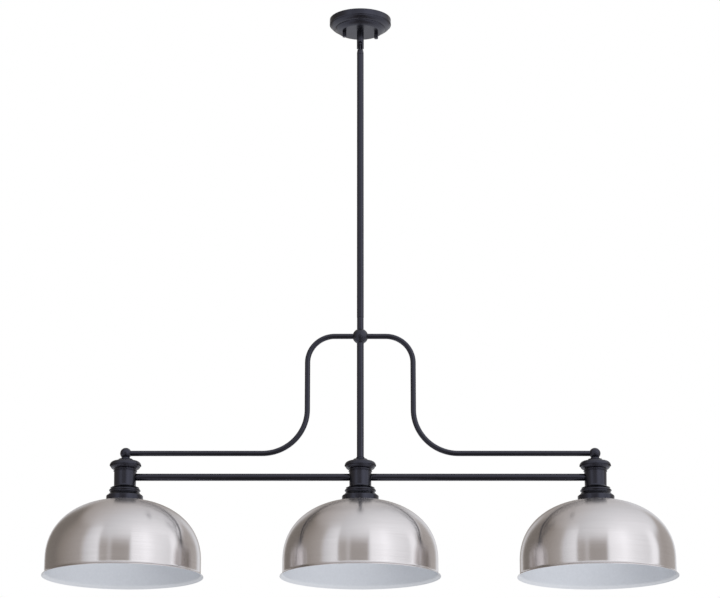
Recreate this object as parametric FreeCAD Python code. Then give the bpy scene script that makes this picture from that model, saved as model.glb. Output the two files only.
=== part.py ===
import FreeCAD, Part
import math
import os

# Linear island pendant: three metal bowl shades under a black frame, hung from one canopy.
# Millimetres. The origin is the centre of the canopy on the ceiling, +Z up, the row of shades
# along X, and the slot of the swivel facing -Y. Everything hangs below, so heights are negative.

# Ceiling canopy, spun in three steps
canopy_diameter = 133.35
canopy_depth = 28.7
canopy_side = 12.6
canopy_edge_round = 0.8
canopy_face_diameter = 83.0
canopy_step_inset = 2.2
canopy_step_drop = 1.6
canopy_middle_step_diameter = 108.0
canopy_middle_step_height = 8.2
canopy_step_bulge = 1.2
canopy_wall = 1.2

# Crossbar on the junction box, and what holds the canopy to it
mounting_turn = 8.0
box_screw_spacing = 88.9
box_screw_hole = 5.2
canopy_screw_spacing = 69.85
crossbar_length = 104.0
crossbar_width = 22.0
crossbar_thickness = 2.0
crossbar_drop = 4.0
stud_diameter = 4.2
stud_head_diameter = 7.6
stud_head_height = 2.4
stud_nut_flats = 8.7
stud_nut_height = 3.2
canopy_nut_diameter = 8.4
canopy_nut_length = 12.6
canopy_nut_skin = 2.4
canopy_nut_chamfer = 0.8
ground_screw_diameter = 4.0
ground_screw_head = 7.4
ground_screw_offset = 18.0
ground_screw_end = 1.0

# Threaded pipe, used for every nipple, and its nuts
pipe_diameter = 9.8
pipe_bore = 6.6
pipe_nut_flats = 15.0
pipe_nut_height = 3.0

# Swivel: a slotted housing with a ball in it
housing_diameter = 15.2
housing_length = 38.1
bushing_length = 11.0
bushing_wall = 1.3
ball_diameter = 11.8
ball_centre_height = 10.8
neck_diameter = 7.0
neck_bore = 3.6
neck_slot_width = 7.8
neck_mouth_diameter = 9.2
neck_visible = 3.7
neck_head_diameter = 8.6
neck_head_height = 2.2
coupler_length = 10.3
coupler_taper = 6.3
coupler_top_diameter = 12.8
coupler_tail = 15.2

# Rods, hub and arms
rod_diameter = 14.6
rod_length = 593.2
joint_nipple_length = 34.0
hub_stem_diameter = 14.0
hub_stem_drop = 40.8
hub_diameter = 32.8
hub_socket_depth = 8.0
hub_arm_socket_depth = 7.0
arm_diameter = 11.3
arm_wall = 1.1
arm_reach = 110.5
arm_drop = 251.2
arm_upper_bend = 57.0
arm_lower_bend = 93.0
end_ball_diameter = 23.4
end_ball_socket_depth = 6.0
end_ball_seat_drop = 8.4
end_ball_nipple_drop = 3.0

# Husks: a cap, a column and a base flange over each shade
shade_spacing = 486.3
cap_height = 27.7
cap_boss_diameter = 19.2
cap_boss_height = 4.0
cap_disc_diameter = 30.4
cap_disc_height = 2.8
cap_diameter = 65.4
cap_lip_thickness = 18.4
cap_lip_slope = 14.0
cap_roof = 4.6
cap_neck_height = 0.6
cap_foot_inset = 1.8
cap_foot_width = 2.8
cap_wall = 1.8
column_diameter = 44.6
column_foot_diameter = 45.4
column_height = 45.5
column_wall = 1.8
collar_diameter = 49.2
collar_height = 3.7
column_straight = 30.7
cove_radius = 4.6
ring_diameter = 64.8
ring_thickness = 8.6
ring_bulge = 2.6
flange_height = 19.3
flange_neck_diameter = 60.4
flange_neck_height = 0.9
flange_flare_height = 6.7
flange_flare_hollow = 0.5
flange_diameter = 75.8
flange_edge_round = 1.2
flange_floor = 2.4

# Cross bars between the husks
bar_drop = 50.3
bar_diameter = 15.0
bar_edge = 1.0
bar_nipple_reach = 15.0
bar_nipple_stub = 1.2
bar_nut_flats = 14.0
bar_nut_height = 3.4

# Lamp holders
lamp_thread_diameter = 26.6
lamp_shell_wall = 0.6
lamp_shell_length = 32.0
lamp_shell_recess = 4.5
lamp_cavity_depth = 38.5
lamp_body_diameter = 37.2
lamp_shoulder_diameter = 43.0
lamp_shoulder_height = 4.0
lamp_skirt_diameter = 38.8
lamp_skirt_length = 20.0
lamp_body_height = 26.5
lamp_hub_diameter = 18.0
lamp_hub_height = 6.0
lamp_hub_thread = 8.0
contact_diameter = 10.0
contact_height = 1.5
contact_rim = 0.8
contact_tip_diameter = 5.0
rivet_diameter = 3.0
ring_nut_diameter = 55.0
ring_nut_height = 7.0
ring_nut_grips = 16
grip_notch_diameter = 4.0
grip_notch_depth = 1.0

# Shades: a full dome, a short upright skirt and a flared lip
shade_diameter = 330.2
shade_height = 156.6
shade_wall = 1.2
shade_seat_diameter = 76.0
dome_diameter = 319.2
dome_height = 126.9
dome_fullness = 2.21
dome_points = 14
lip_height = 9.2
lip_hollow = 0.9
lip_edge = 1.6

# Clearances
thread_fit = 0.05
hole_clearance = 0.3
ball_clearance = 0.1
part_gap = 0.05

# How far a cutting body runs past the face that it cuts
overcut = 1.0

# Heights worked out from the sizes above
canopy_face_z = -canopy_depth
housing_end_z = canopy_face_z - housing_length
ball_z = housing_end_z + ball_centre_height
coupler_top_z = housing_end_z - neck_visible
rod_top_z = coupler_top_z - coupler_length
rod_joint_z = rod_top_z - rod_length
hub_z = rod_joint_z - hub_stem_drop
arm_run_z = hub_z - arm_drop
cap_top_z = arm_run_z - end_ball_seat_drop
column_top_z = cap_top_z - cap_height
flange_top_z = column_top_z - column_height
seat_z = flange_top_z - flange_height
rim_z = seat_z - shade_height
bar_z = arm_run_z - bar_drop
shoulder_z = seat_z + flange_floor
lamp_mouth_z = shoulder_z - lamp_skirt_length
lamp_roof_z = lamp_mouth_z + lamp_cavity_depth
lamp_body_top_z = shoulder_z + lamp_shoulder_height + lamp_body_height
lamp_top_z = lamp_body_top_z + lamp_hub_height
crossbar_top_z = -crossbar_drop
crossbar_under_z = crossbar_top_z - crossbar_thickness

# Radii that several pieces share
pipe_radius = pipe_diameter / 2
thread_bore = pipe_radius + thread_fit
column_bore = column_diameter / 2 - column_wall
skirt_hole = lamp_skirt_diameter / 2 + hole_clearance / 2

husk_places = {"left": -shade_spacing, "middle": 0.0, "right": shade_spacing}
arm_sides = {"left": -1, "right": 1}


def cylinder(radius, low, high, x=0.0, y=0.0):
    """An upright cylinder between two heights."""
    return Part.makeCylinder(radius, high - low, FreeCAD.Vector(x, y, low))


def tube(outer, inner, low, high, x=0.0, y=0.0):
    """An upright tube between two heights."""
    return cylinder(outer, low, high, x, y).cut(cylinder(inner, low - overcut, high + overcut, x, y))


def bar_along_x(radius, start, end, z):
    """A level cylinder along X."""
    return Part.makeCylinder(radius, end - start, FreeCAD.Vector(start, 0, z), FreeCAD.Vector(1, 0, 0))


def hex_nut(flats, bore, low, height, x=0.0, y=0.0):
    """A hexagon nut with its axis upright."""
    corner = flats / math.sqrt(3)
    turns = [math.radians(60 * k) for k in range(7)]
    corners = [FreeCAD.Vector(x + corner * math.cos(t), y + corner * math.sin(t), low) for t in turns]
    blank = Part.Face(Part.makePolygon(corners)).extrude(FreeCAD.Vector(0, 0, height))
    return blank.cut(cylinder(bore, low - overcut, low + height + overcut, x, y))


def turned(start, steps, x=0.0):
    """A solid turned about the upright axis at x.

    The outline runs from start through the steps and back. A step is a point (r, z),
    a pair of points for an arc's middle and end, or a list of points for a smooth curve.
    """
    def at(point):
        return FreeCAD.Vector(point[0], 0, point[1])

    edges = []
    here = start
    for step in steps + [start]:
        if isinstance(step, list):
            curve = Part.BSplineCurve()
            curve.interpolate([at(point) for point in [here] + step])
            edges.append(curve.toShape())
            here = step[-1]
        elif isinstance(step[0], tuple):
            middle, end = step
            edges.append(Part.Arc(at(here), at(middle), at(end)).toShape())
            here = end
        elif step != here:
            edges.append(Part.makeLine(at(here), at(step)))
            here = step
    face = Part.Face(Part.Wire(edges))
    solid = face.revolve(FreeCAD.Vector(0, 0, 0), FreeCAD.Vector(0, 0, 1), 360)
    solid.translate(FreeCAD.Vector(x, 0, 0))
    return solid


def around(centre, radius, angle):
    """A point on a circle in an outline, with the angle in degrees up from level."""
    turn = math.radians(angle)
    return (centre[0] + radius * math.cos(turn), centre[1] + radius * math.sin(turn))


def along_crossbar(distance):
    """The place at a distance from the centre, along the turned crossbar."""
    turn = math.radians(mounting_turn)
    return distance * math.cos(turn), distance * math.sin(turn)


def on_both_ends(spacing):
    """The two places at half a spacing each way along the crossbar."""
    return [along_crossbar(-spacing / 2), along_crossbar(spacing / 2)]


def save(name, *solids):
    """Write one piece, or a group of like pieces, as one node."""
    shape = solids[0] if len(solids) == 1 else Part.makeCompound(list(solids))
    shape = shape.removeSplitter() if len(solids) == 1 else shape
    if not shape.isValid():
        raise ValueError(name + " is not a valid solid")
    shape.exportStep("parts/" + name + ".step")
    print(name, len(shape.Solids), round(shape.Volume, 1))


# Ceiling mount

def mounting_crossbar():
    """A steel strap with round ends, which screws to the junction box."""
    half = crossbar_length / 2 - crossbar_width / 2
    strap = Part.makeBox(2 * half, crossbar_width, crossbar_thickness,
                         FreeCAD.Vector(-half, -crossbar_width / 2, crossbar_under_z))
    for end in (-half, half):
        strap = strap.fuse(cylinder(crossbar_width / 2, crossbar_under_z, crossbar_top_z, end))
    strap = strap.removeSplitter()
    strap.rotate(FreeCAD.Vector(0, 0, 0), FreeCAD.Vector(0, 0, 1), mounting_turn)
    holes = [(thread_bore, (0.0, 0.0))]
    holes += [(ground_screw_diameter / 2 + thread_fit, along_crossbar(ground_screw_offset))]
    holes += [(box_screw_hole / 2, place) for place in on_both_ends(box_screw_spacing)]
    holes += [(stud_diameter / 2 + thread_fit, place) for place in on_both_ends(canopy_screw_spacing)]
    for radius, (x, y) in holes:
        strap = strap.cut(cylinder(radius, crossbar_under_z - overcut, crossbar_top_z + overcut, x, y))
    return strap


def ground_screw():
    """The earth wire's screw, with its head under the crossbar."""
    x, y = along_crossbar(ground_screw_offset)
    head = cylinder(ground_screw_head / 2, crossbar_under_z - stud_head_height, crossbar_under_z, x, y)
    end = crossbar_top_z + ground_screw_end
    return head.fuse(cylinder(ground_screw_diameter / 2, crossbar_under_z, end, x, y))


def canopy_studs():
    """Two machine screws that stand down from the crossbar through the canopy."""
    tip = canopy_face_z - canopy_nut_length + canopy_nut_skin + hole_clearance
    studs = []
    for x, y in on_both_ends(canopy_screw_spacing):
        head = cylinder(stud_head_diameter / 2, crossbar_top_z, crossbar_top_z + stud_head_height, x, y)
        studs.append(head.fuse(cylinder(stud_diameter / 2, tip, crossbar_top_z, x, y)))
    return studs


def stud_nuts():
    """The nuts that lock the studs under the crossbar."""
    return [
        hex_nut(stud_nut_flats, stud_diameter / 2 + thread_fit, crossbar_under_z - stud_nut_height,
                stud_nut_height, x, y)
        for x, y in on_both_ends(canopy_screw_spacing)
    ]


def ceiling_nipple():
    """The threaded pipe that carries the swivel from the crossbar."""
    low = canopy_face_z - bushing_length + hole_clearance
    return tube(pipe_radius, pipe_bore / 2, low, crossbar_top_z + pipe_nut_height + part_gap)


def ceiling_nipple_nuts():
    """One nut above the crossbar and one below it."""
    lows = (crossbar_top_z, crossbar_under_z - pipe_nut_height)
    return [hex_nut(pipe_nut_flats, thread_bore, low, pipe_nut_height) for low in lows]


def canopy_form(inset):
    """The canopy's outside as a full body, or its inside when the wall is the inset."""
    edge = canopy_diameter / 2 - inset
    ledge = edge - canopy_step_inset
    middle = canopy_middle_step_diameter / 2 - inset
    face_edge = canopy_face_diameter / 2 - inset
    face_z = canopy_face_z + inset
    side_end = -canopy_side + inset
    ledge_z = side_end - canopy_step_drop
    middle_z = canopy_face_z + canopy_middle_step_height + inset
    foot_z = middle_z - canopy_step_drop
    corner = canopy_edge_round * (1 - math.sqrt(0.5))
    steps = [
        (edge, inset),
        (edge, side_end + canopy_edge_round),
        ((edge - corner, side_end + corner), (edge - canopy_edge_round, side_end)),
        (ledge, side_end),
        (ledge, ledge_z),
        (((ledge + middle) / 2 + canopy_step_bulge, (ledge_z + middle_z) / 2 - canopy_step_bulge),
         (middle, middle_z)),
        (middle, foot_z),
        (((middle + face_edge) / 2 + canopy_step_bulge, (foot_z + face_z) / 2 - canopy_step_bulge),
         (face_edge, face_z)),
        (0.0, face_z),
    ]
    return turned((0.0, inset), steps)


def canopy():
    """The spun canopy: an upright side, two steps and a flat face with its holes."""
    shell = canopy_form(0.0).cut(canopy_form(canopy_wall))
    low = canopy_face_z - overcut
    high = canopy_face_z + canopy_middle_step_height
    shell = shell.cut(cylinder(pipe_radius + hole_clearance, low, high))
    for x, y in on_both_ends(canopy_screw_spacing):
        shell = shell.cut(cylinder(stud_diameter / 2 + hole_clearance, low, high, x, y))
    return shell


def canopy_nuts():
    """The two long round nuts that hold the canopy up, each with a blind thread."""
    low = canopy_face_z - canopy_nut_length
    thread = stud_diameter / 2 + thread_fit
    nuts = []
    for x, y in on_both_ends(canopy_screw_spacing):
        blank = cylinder(canopy_nut_diameter / 2, low, canopy_face_z, x, y)
        rim = [edge for edge in blank.Edges if edge.BoundBox.ZMax < low + part_gap]
        blank = blank.makeChamfer(canopy_nut_chamfer, rim)
        nuts.append(blank.cut(cylinder(thread, low + canopy_nut_skin, canopy_face_z + overcut, x, y)))
    return nuts


# Swivel

def swivel_bushing():
    """The threaded bushing that closes the housing's top and screws onto the nipple."""
    return tube(pipe_radius + bushing_wall, thread_bore, canopy_face_z - bushing_length, canopy_face_z)


def swivel_housing():
    """The slotted housing. Its bore ends in a round seat, and the slot lets the neck swing out."""
    ball_bore = ball_diameter / 2 + ball_clearance
    body = cylinder(housing_diameter / 2, housing_end_z, canopy_face_z)
    body = body.cut(cylinder(ball_bore, ball_z, canopy_face_z - bushing_length))
    body = body.cut(Part.makeSphere(ball_bore, FreeCAD.Vector(0, 0, ball_z)))
    bushing_bore = pipe_radius + bushing_wall + thread_fit
    body = body.cut(cylinder(bushing_bore, canopy_face_z - bushing_length, canopy_face_z + overcut))
    low = housing_end_z - overcut
    body = body.cut(cylinder(neck_mouth_diameter / 2, low, ball_z))
    half = neck_slot_width / 2
    slot = Part.makeBox(neck_slot_width, housing_diameter, ball_z - low,
                        FreeCAD.Vector(-half, -housing_diameter, low))
    slot_top = Part.makeCylinder(half, housing_diameter, FreeCAD.Vector(0, -housing_diameter, ball_z),
                                 FreeCAD.Vector(0, 1, 0))
    return body.cut(slot.fuse(slot_top))


def swivel_ball():
    """The ball, its hollow neck, and the spread end that holds the neck in the coupler."""
    neck_end = coupler_top_z - coupler_length - coupler_tail - hole_clearance
    ball = Part.makeSphere(ball_diameter / 2, FreeCAD.Vector(0, 0, ball_z))
    ball = ball.fuse(cylinder(neck_diameter / 2, neck_end, ball_z))
    ball = ball.fuse(cylinder(neck_head_diameter / 2, neck_end - neck_head_height, neck_end))
    return ball.cut(cylinder(neck_bore / 2, neck_end - neck_head_height - overcut, ball_z + ball_diameter))


def swivel_coupler():
    """The tapered collar that turns on the neck and screws into the rod."""
    radius = rod_diameter / 2
    body = turned((0.0, rod_top_z), [
        (radius, rod_top_z),
        (radius, coupler_top_z - coupler_taper),
        (coupler_top_diameter / 2, coupler_top_z),
        (0.0, coupler_top_z),
    ])
    tail_end = rod_top_z - coupler_tail
    body = body.fuse(cylinder(pipe_radius, tail_end, rod_top_z))
    return body.cut(cylinder(neck_diameter / 2 + thread_fit, tail_end - overcut, coupler_top_z + overcut))


# Rods, hub and arms

def down_rod():
    """The long rod from the swivel down to the joint above the hub."""
    return tube(rod_diameter / 2, thread_bore, rod_joint_z, rod_top_z)


def joint_nipple():
    """The hidden threaded pipe that joins the long rod to the hub's stem."""
    half = joint_nipple_length / 2
    return tube(pipe_radius, pipe_bore / 2, rod_joint_z - half, rod_joint_z + half)


def hub_stem():
    """The short stem that stands in the top of the hub."""
    return tube(hub_stem_diameter / 2, thread_bore, hub_z + hub_diameter / 2 - hub_socket_depth, rod_joint_z)


def centre_stem():
    """The stem from the bottom of the hub down to the middle cap."""
    return tube(rod_diameter / 2, thread_bore, cap_top_z, hub_z - hub_diameter / 2 + hub_socket_depth)


def hub():
    """The ball where the stems and both arms meet, bored through for the wires."""
    radius = hub_diameter / 2
    body = Part.makeSphere(radius, FreeCAD.Vector(0, 0, hub_z))
    upright_end = radius - hub_socket_depth
    level_end = radius - hub_arm_socket_depth
    past = radius + overcut
    body = body.cut(cylinder(hub_stem_diameter / 2 + thread_fit, hub_z + upright_end, hub_z + past))
    body = body.cut(cylinder(rod_diameter / 2 + thread_fit, hub_z - past, hub_z - upright_end))
    body = body.cut(cylinder(pipe_radius, hub_z - radius, hub_z + radius))
    for start, end in ((-past, -level_end), (level_end, past)):
        body = body.cut(bar_along_x(arm_diameter / 2 + thread_fit, start, end, hub_z))
    return body.cut(bar_along_x(arm_diameter / 2 - arm_wall, -radius, radius, hub_z))


def arm_path(side):
    """The arm's centre line: out from the hub, down, and out again to its end ball."""
    def point(x, z):
        return FreeCAD.Vector(side * x, 0, z)

    slant = 1 - math.sqrt(0.5)
    upper, lower = arm_upper_bend, arm_lower_bend
    start = point(hub_diameter / 2 - hub_arm_socket_depth, hub_z)
    top_turn = [
        point(arm_reach - upper, hub_z),
        point(arm_reach - upper * slant, hub_z - upper * slant),
        point(arm_reach, hub_z - upper),
    ]
    foot_turn = [
        point(arm_reach, arm_run_z + lower),
        point(arm_reach + lower * slant, arm_run_z + lower * slant),
        point(arm_reach + lower, arm_run_z),
    ]
    end = point(shade_spacing - end_ball_diameter / 2 + end_ball_socket_depth, arm_run_z)
    return Part.Wire([
        Part.makeLine(start, top_turn[0]),
        Part.Arc(*top_turn).toShape(),
        Part.makeLine(top_turn[2], foot_turn[0]),
        Part.Arc(*foot_turn).toShape(),
        Part.makeLine(foot_turn[2], end),
    ])


def arm(side):
    """One bent tube arm."""
    path = arm_path(side)
    start = path.Edges[0].Vertexes[0].Point
    runs = []
    for radius in (arm_diameter / 2, arm_diameter / 2 - arm_wall):
        section = Part.Face(Part.Wire(Part.makeCircle(radius, start, FreeCAD.Vector(side, 0, 0))))
        runs.append(path.makePipe(section))
    return runs[0].cut(runs[1])


def end_ball(x, side):
    """The ball at an arm's end. A flat under it sits on the cap."""
    radius = end_ball_diameter / 2
    ball = Part.makeSphere(radius, FreeCAD.Vector(x, 0, arm_run_z))
    ball = ball.cut(cylinder(radius, arm_run_z - radius - overcut, cap_top_z, x))
    socket_end = radius - end_ball_socket_depth
    span = sorted((x - side * socket_end, x - side * (radius + overcut)))
    ball = ball.cut(bar_along_x(arm_diameter / 2 + thread_fit, span[0], span[1], arm_run_z))
    wire_span = sorted((x, x - side * radius))
    ball = ball.cut(bar_along_x(arm_diameter / 2 - arm_wall, wire_span[0], wire_span[1], arm_run_z))
    return ball.cut(cylinder(thread_bore, cap_top_z - overcut, arm_run_z, x))


# Husks

def cap(x):
    """The turned cap: a boss, a disc, a sloping top and a thick round lip over a hollow."""
    disc_z = cap_top_z - cap_boss_height
    slope_z = disc_z - cap_disc_height
    thick = cap_lip_thickness / 2
    centre = (cap_diameter / 2 - thick, column_top_z + cap_neck_height + thick)
    foot = collar_diameter / 2 - cap_foot_inset
    mouth = foot - cap_foot_width
    hollow = thick - cap_wall
    mouth_turn = 360 - math.degrees(math.acos((mouth - centre[0]) / hollow))
    roof_z = cap_top_z - cap_boss_height - cap_roof
    steps = [
        (cap_boss_diameter / 2, cap_top_z),
        (cap_boss_diameter / 2, disc_z),
        (cap_disc_diameter / 2, disc_z),
        (cap_disc_diameter / 2, slope_z),
        around(centre, thick, 90 - cap_lip_slope),
        (around(centre, thick, 0), around(centre, thick, -90)),
        (foot, centre[1] - thick),
        (foot, column_top_z),
        (mouth, column_top_z),
        around(centre, hollow, mouth_turn),
        (around(centre, hollow, 0), around(centre, hollow, 90)),
        (cap_disc_diameter / 2, roof_z),
        (thread_bore, roof_z),
    ]
    return turned((thread_bore, cap_top_z), steps, x)


def column(x, bar_directions):
    """The column under the cap: a collar, a straight wall, a cove and a bulging ring."""
    collar = collar_diameter / 2
    bead = collar_height / 2
    top = column_diameter / 2
    foot = column_foot_diameter / 2
    cove_z = column_top_z - column_straight
    cove = (foot + cove_radius, cove_z)
    ring = ring_diameter / 2
    ring_z = flange_top_z + ring_thickness / 2
    ring_bore = flange_neck_diameter / 2 - column_wall
    body = turned((0.0, column_top_z), [
        (collar - bead, column_top_z),
        ((collar, column_top_z - bead), (collar - bead, column_top_z - collar_height)),
        (top, column_top_z - collar_height),
        (foot, cove_z),
        (around(cove, cove_radius, 225), around(cove, cove_radius, 270)),
        (ring - ring_bulge, flange_top_z + ring_thickness),
        ((ring, ring_z), (ring - ring_bulge, flange_top_z)),
        (0.0, flange_top_z),
    ], x)
    hollow = turned((0.0, column_top_z + overcut), [
        (column_bore, column_top_z + overcut),
        (column_bore, cove_z - column_wall / 2),
        (ring_bore, ring_z),
        (ring_bore, flange_top_z - overcut),
        (0.0, flange_top_z - overcut),
    ], x)
    body = body.cut(hollow)
    for direction in bar_directions:
        span = sorted((x, x + direction * ring_diameter))
        body = body.cut(bar_along_x(thread_bore, span[0], span[1], bar_z))
    return body


def base_flange(x):
    """The flared flange whose floor sits on the shade."""
    neck = flange_neck_diameter / 2
    edge = flange_diameter / 2
    flare_top_z = flange_top_z - flange_neck_height
    flare_end = (edge - flange_edge_round, flare_top_z - flange_flare_height)
    flare_middle = ((neck + flare_end[0]) / 2 - flange_flare_hollow,
                    (flare_top_z + flare_end[1]) / 2 - flange_flare_hollow)
    corner = (flare_end[0], flare_end[1] - flange_edge_round)
    floor_z = seat_z + flange_floor
    wall = column_wall
    drop = (wall + flange_flare_hollow) * math.sqrt(2)
    body = turned((0.0, flange_top_z), [
        (neck, flange_top_z),
        (neck, flare_top_z),
        (flare_middle, flare_end),
        (around(corner, flange_edge_round, 45), (edge, corner[1])),
        (edge, seat_z),
        (0.0, seat_z),
    ], x)
    hollow = turned((0.0, flange_top_z + overcut), [
        (neck - wall, flange_top_z + overcut),
        (neck - wall, flare_top_z + wall - drop),
        (edge - wall, corner[1] + wall - drop),
        (edge - wall, floor_z),
        (0.0, floor_z),
    ], x)
    return body.cut(hollow).cut(cylinder(skirt_hole, seat_z - overcut, floor_z + overcut, x))


def lamp_nipples():
    """The threaded pipes that hang each lamp holder through its cap."""
    low = lamp_top_z - lamp_hub_thread + hole_clearance
    high = arm_run_z - end_ball_nipple_drop
    return [tube(pipe_radius, pipe_bore / 2, low, high, x) for x in husk_places.values()]


def lamp_nipple_nuts():
    """The nuts that lock the caps from inside."""
    low = cap_top_z - cap_boss_height - cap_roof - pipe_nut_height
    return [hex_nut(pipe_nut_flats, thread_bore, low, pipe_nut_height, x) for x in husk_places.values()]


# Cross bars

def cross_bar(side):
    """One level tube from the middle column to an outer column."""
    inner = column_foot_diameter / 2 + part_gap
    ends = sorted((side * inner, side * (shade_spacing - inner)))
    body = bar_along_x(bar_diameter / 2, ends[0], ends[1], bar_z)
    rims = [edge for edge in body.Edges if edge.BoundBox.XLength < part_gap]
    body = body.makeFillet(bar_edge, rims)
    return body.cut(bar_along_x(thread_bore, ends[0] - overcut, ends[1] + overcut, bar_z))


def bar_joints():
    """Where bars meet columns: the column's x and the direction of its bar."""
    return [(-shade_spacing, 1), (0.0, -1), (0.0, 1), (shade_spacing, -1)]


def bar_nut_face():
    """How far from a column's axis a nut's outer face touches the round wall."""
    return math.sqrt(column_bore ** 2 - (bar_nut_flats / 2) ** 2) - part_gap


def bar_nipples():
    """The threaded pipes that run from each bar's end through the column's wall."""
    start = bar_nut_face() - bar_nut_height - bar_nipple_stub
    end = column_foot_diameter / 2 + bar_nipple_reach
    pipes = []
    for x, direction in bar_joints():
        span = sorted((x + direction * start, x + direction * end))
        pipe = bar_along_x(pipe_radius, span[0], span[1], bar_z)
        pipes.append(pipe.cut(bar_along_x(pipe_bore / 2, span[0] - overcut, span[1] + overcut, bar_z)))
    return pipes


def bar_nuts():
    """The nuts that draw each bar against its column, inside the column."""
    nuts = []
    for x, direction in bar_joints():
        nut = hex_nut(bar_nut_flats, thread_bore, -bar_nut_height / 2, bar_nut_height)
        nut.rotate(FreeCAD.Vector(0, 0, 0), FreeCAD.Vector(0, 1, 0), 90)
        middle = bar_nut_face() - bar_nut_height / 2
        nut.translate(FreeCAD.Vector(x + direction * middle, 0, bar_z))
        nuts.append(nut)
    return nuts


# Lamp holders

def lamp_holder(x):
    """The glazed holder: a hub on the nipple, a shoulder on the flange and a threaded skirt."""
    skirt = lamp_skirt_diameter / 2
    shell = lamp_thread_diameter / 2 + lamp_shell_wall + thread_fit
    body = cylinder(lamp_hub_diameter / 2, lamp_body_top_z, lamp_top_z, x)
    body = body.fuse(cylinder(lamp_body_diameter / 2, shoulder_z, lamp_body_top_z, x))
    body = body.fuse(cylinder(lamp_shoulder_diameter / 2, shoulder_z, shoulder_z + lamp_shoulder_height, x))
    body = body.fuse(cylinder(skirt, lamp_mouth_z, shoulder_z, x))
    body = body.cut(cylinder(thread_bore, lamp_top_z - lamp_hub_thread, lamp_top_z + overcut, x))
    body = body.cut(cylinder(shell, lamp_mouth_z - overcut, lamp_roof_z, x))
    return body.cut(cylinder(rivet_diameter / 2 + thread_fit, lamp_roof_z - overcut, lamp_top_z, x))


def screw_shell(x):
    """The brass shell that takes the lamp's screw base."""
    low = lamp_mouth_z + lamp_shell_recess
    radius = lamp_thread_diameter / 2
    return tube(radius + lamp_shell_wall, radius, low, low + lamp_shell_length, x)


def centre_contact(x):
    """The contact in the middle of the holder, riveted through its roof."""
    head = turned((0.0, lamp_roof_z), [
        (contact_diameter / 2, lamp_roof_z),
        (contact_diameter / 2, lamp_roof_z - contact_rim),
        (contact_tip_diameter / 2, lamp_roof_z - contact_height),
        (0.0, lamp_roof_z - contact_height),
    ], x)
    return head.fuse(cylinder(rivet_diameter / 2, lamp_roof_z, lamp_top_z - lamp_hub_thread, x))


def retaining_ring(x):
    """The ring that screws onto the skirt and clamps the shade, notched for grip."""
    high = seat_z - shade_wall
    low = high - ring_nut_height
    body = tube(ring_nut_diameter / 2, lamp_skirt_diameter / 2 + thread_fit, low, high, x)
    reach = (ring_nut_diameter + grip_notch_diameter) / 2 - grip_notch_depth
    for k in range(ring_nut_grips):
        turn = 2 * math.pi * k / ring_nut_grips
        notch_x, notch_y = x + reach * math.cos(turn), reach * math.sin(turn)
        notch = cylinder(grip_notch_diameter / 2, low - overcut, high + overcut, notch_x, notch_y)
        body = body.cut(notch)
    return body


# Shades

def shade_form(inset, rim_overrun, x):
    """The shade's outside as a full body, or its inside when the wall is the inset."""
    fullness = dome_fullness
    across = dome_diameter / 2 - inset
    up = dome_height - inset
    seat_rise = dome_height * (1 - (shade_seat_diameter / dome_diameter) ** fullness) ** (1 / fullness)
    equator_z = seat_z - seat_rise
    top_rise = seat_rise - inset
    start = math.acos((top_rise / up) ** (fullness / 2))
    steps = dome_points
    curve = []
    for k in range(steps + 1):
        turn = start + (math.pi / 2 - start) * k / steps
        width = across * math.sin(turn) ** (2 / fullness)
        curve.append((width, equator_z + up * abs(math.cos(turn)) ** (2 / fullness)))
    lip_top = rim_z + lip_height
    flare_end = (shade_diameter / 2 - inset, rim_z + lip_edge)
    flare_middle = ((across + flare_end[0]) / 2 - lip_hollow, (lip_top + flare_end[1]) / 2 - lip_hollow)
    return turned((0.0, curve[0][1]), [
        curve[0],
        curve[1:],
        (across, lip_top),
        (flare_middle, flare_end),
        (flare_end[0], rim_z - rim_overrun),
        (0.0, rim_z - rim_overrun),
    ], x)


def shade(x):
    """The spun bowl shade, with a flat seat and a hole at its top."""
    shell = shade_form(0.0, 0.0, x).cut(shade_form(shade_wall, overcut, x))
    return shell.cut(cylinder(skirt_hole, seat_z - shade_wall - overcut, seat_z + overcut, x))


os.makedirs("parts", exist_ok=True)
save("mounting_crossbar", mounting_crossbar())
save("ground_screw", ground_screw())
save("canopy_studs", *canopy_studs())
save("stud_nuts", *stud_nuts())
save("ceiling_nipple", ceiling_nipple())
save("ceiling_nipple_nuts", *ceiling_nipple_nuts())
save("canopy", canopy())
save("canopy_nuts", *canopy_nuts())
save("swivel_bushing", swivel_bushing())
save("swivel_housing", swivel_housing())
save("swivel_ball", swivel_ball())
save("swivel_coupler", swivel_coupler())
save("down_rod", down_rod())
save("joint_nipple", joint_nipple())
save("hub_stem", hub_stem())
save("hub", hub())
save("centre_stem", centre_stem())
for name, side in arm_sides.items():
    save(name + "_arm", arm(side))
    save(name + "_end_ball", end_ball(husk_places[name], side))
for name, x in husk_places.items():
    save(name + "_cap", cap(x))
    directions = [direction for place, direction in bar_joints() if place == x]
    save(name + "_column", column(x, directions))
    save(name + "_base_flange", base_flange(x))
    save(name + "_lamp_holder", lamp_holder(x))
    save(name + "_screw_shell", screw_shell(x))
    save(name + "_centre_contact", centre_contact(x))
    save(name + "_shade", shade(x))
    save(name + "_retaining_ring", retaining_ring(x))
save("lamp_nipples", *lamp_nipples())
save("lamp_nipple_nuts", *lamp_nipple_nuts())
save("left_cross_bar", cross_bar(-1))
save("right_cross_bar", cross_bar(1))
save("bar_nipples", *bar_nipples())
save("bar_nuts", *bar_nuts())
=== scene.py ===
# Linear island pendant: three spun metal shades under a black pipe frame, hung from a canopy.
# Metres throughout. The row of shades runs along X and the ceiling is at Z = 0.
import math

import bmesh
import bpy
from mathutils import Matrix, Vector


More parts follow.
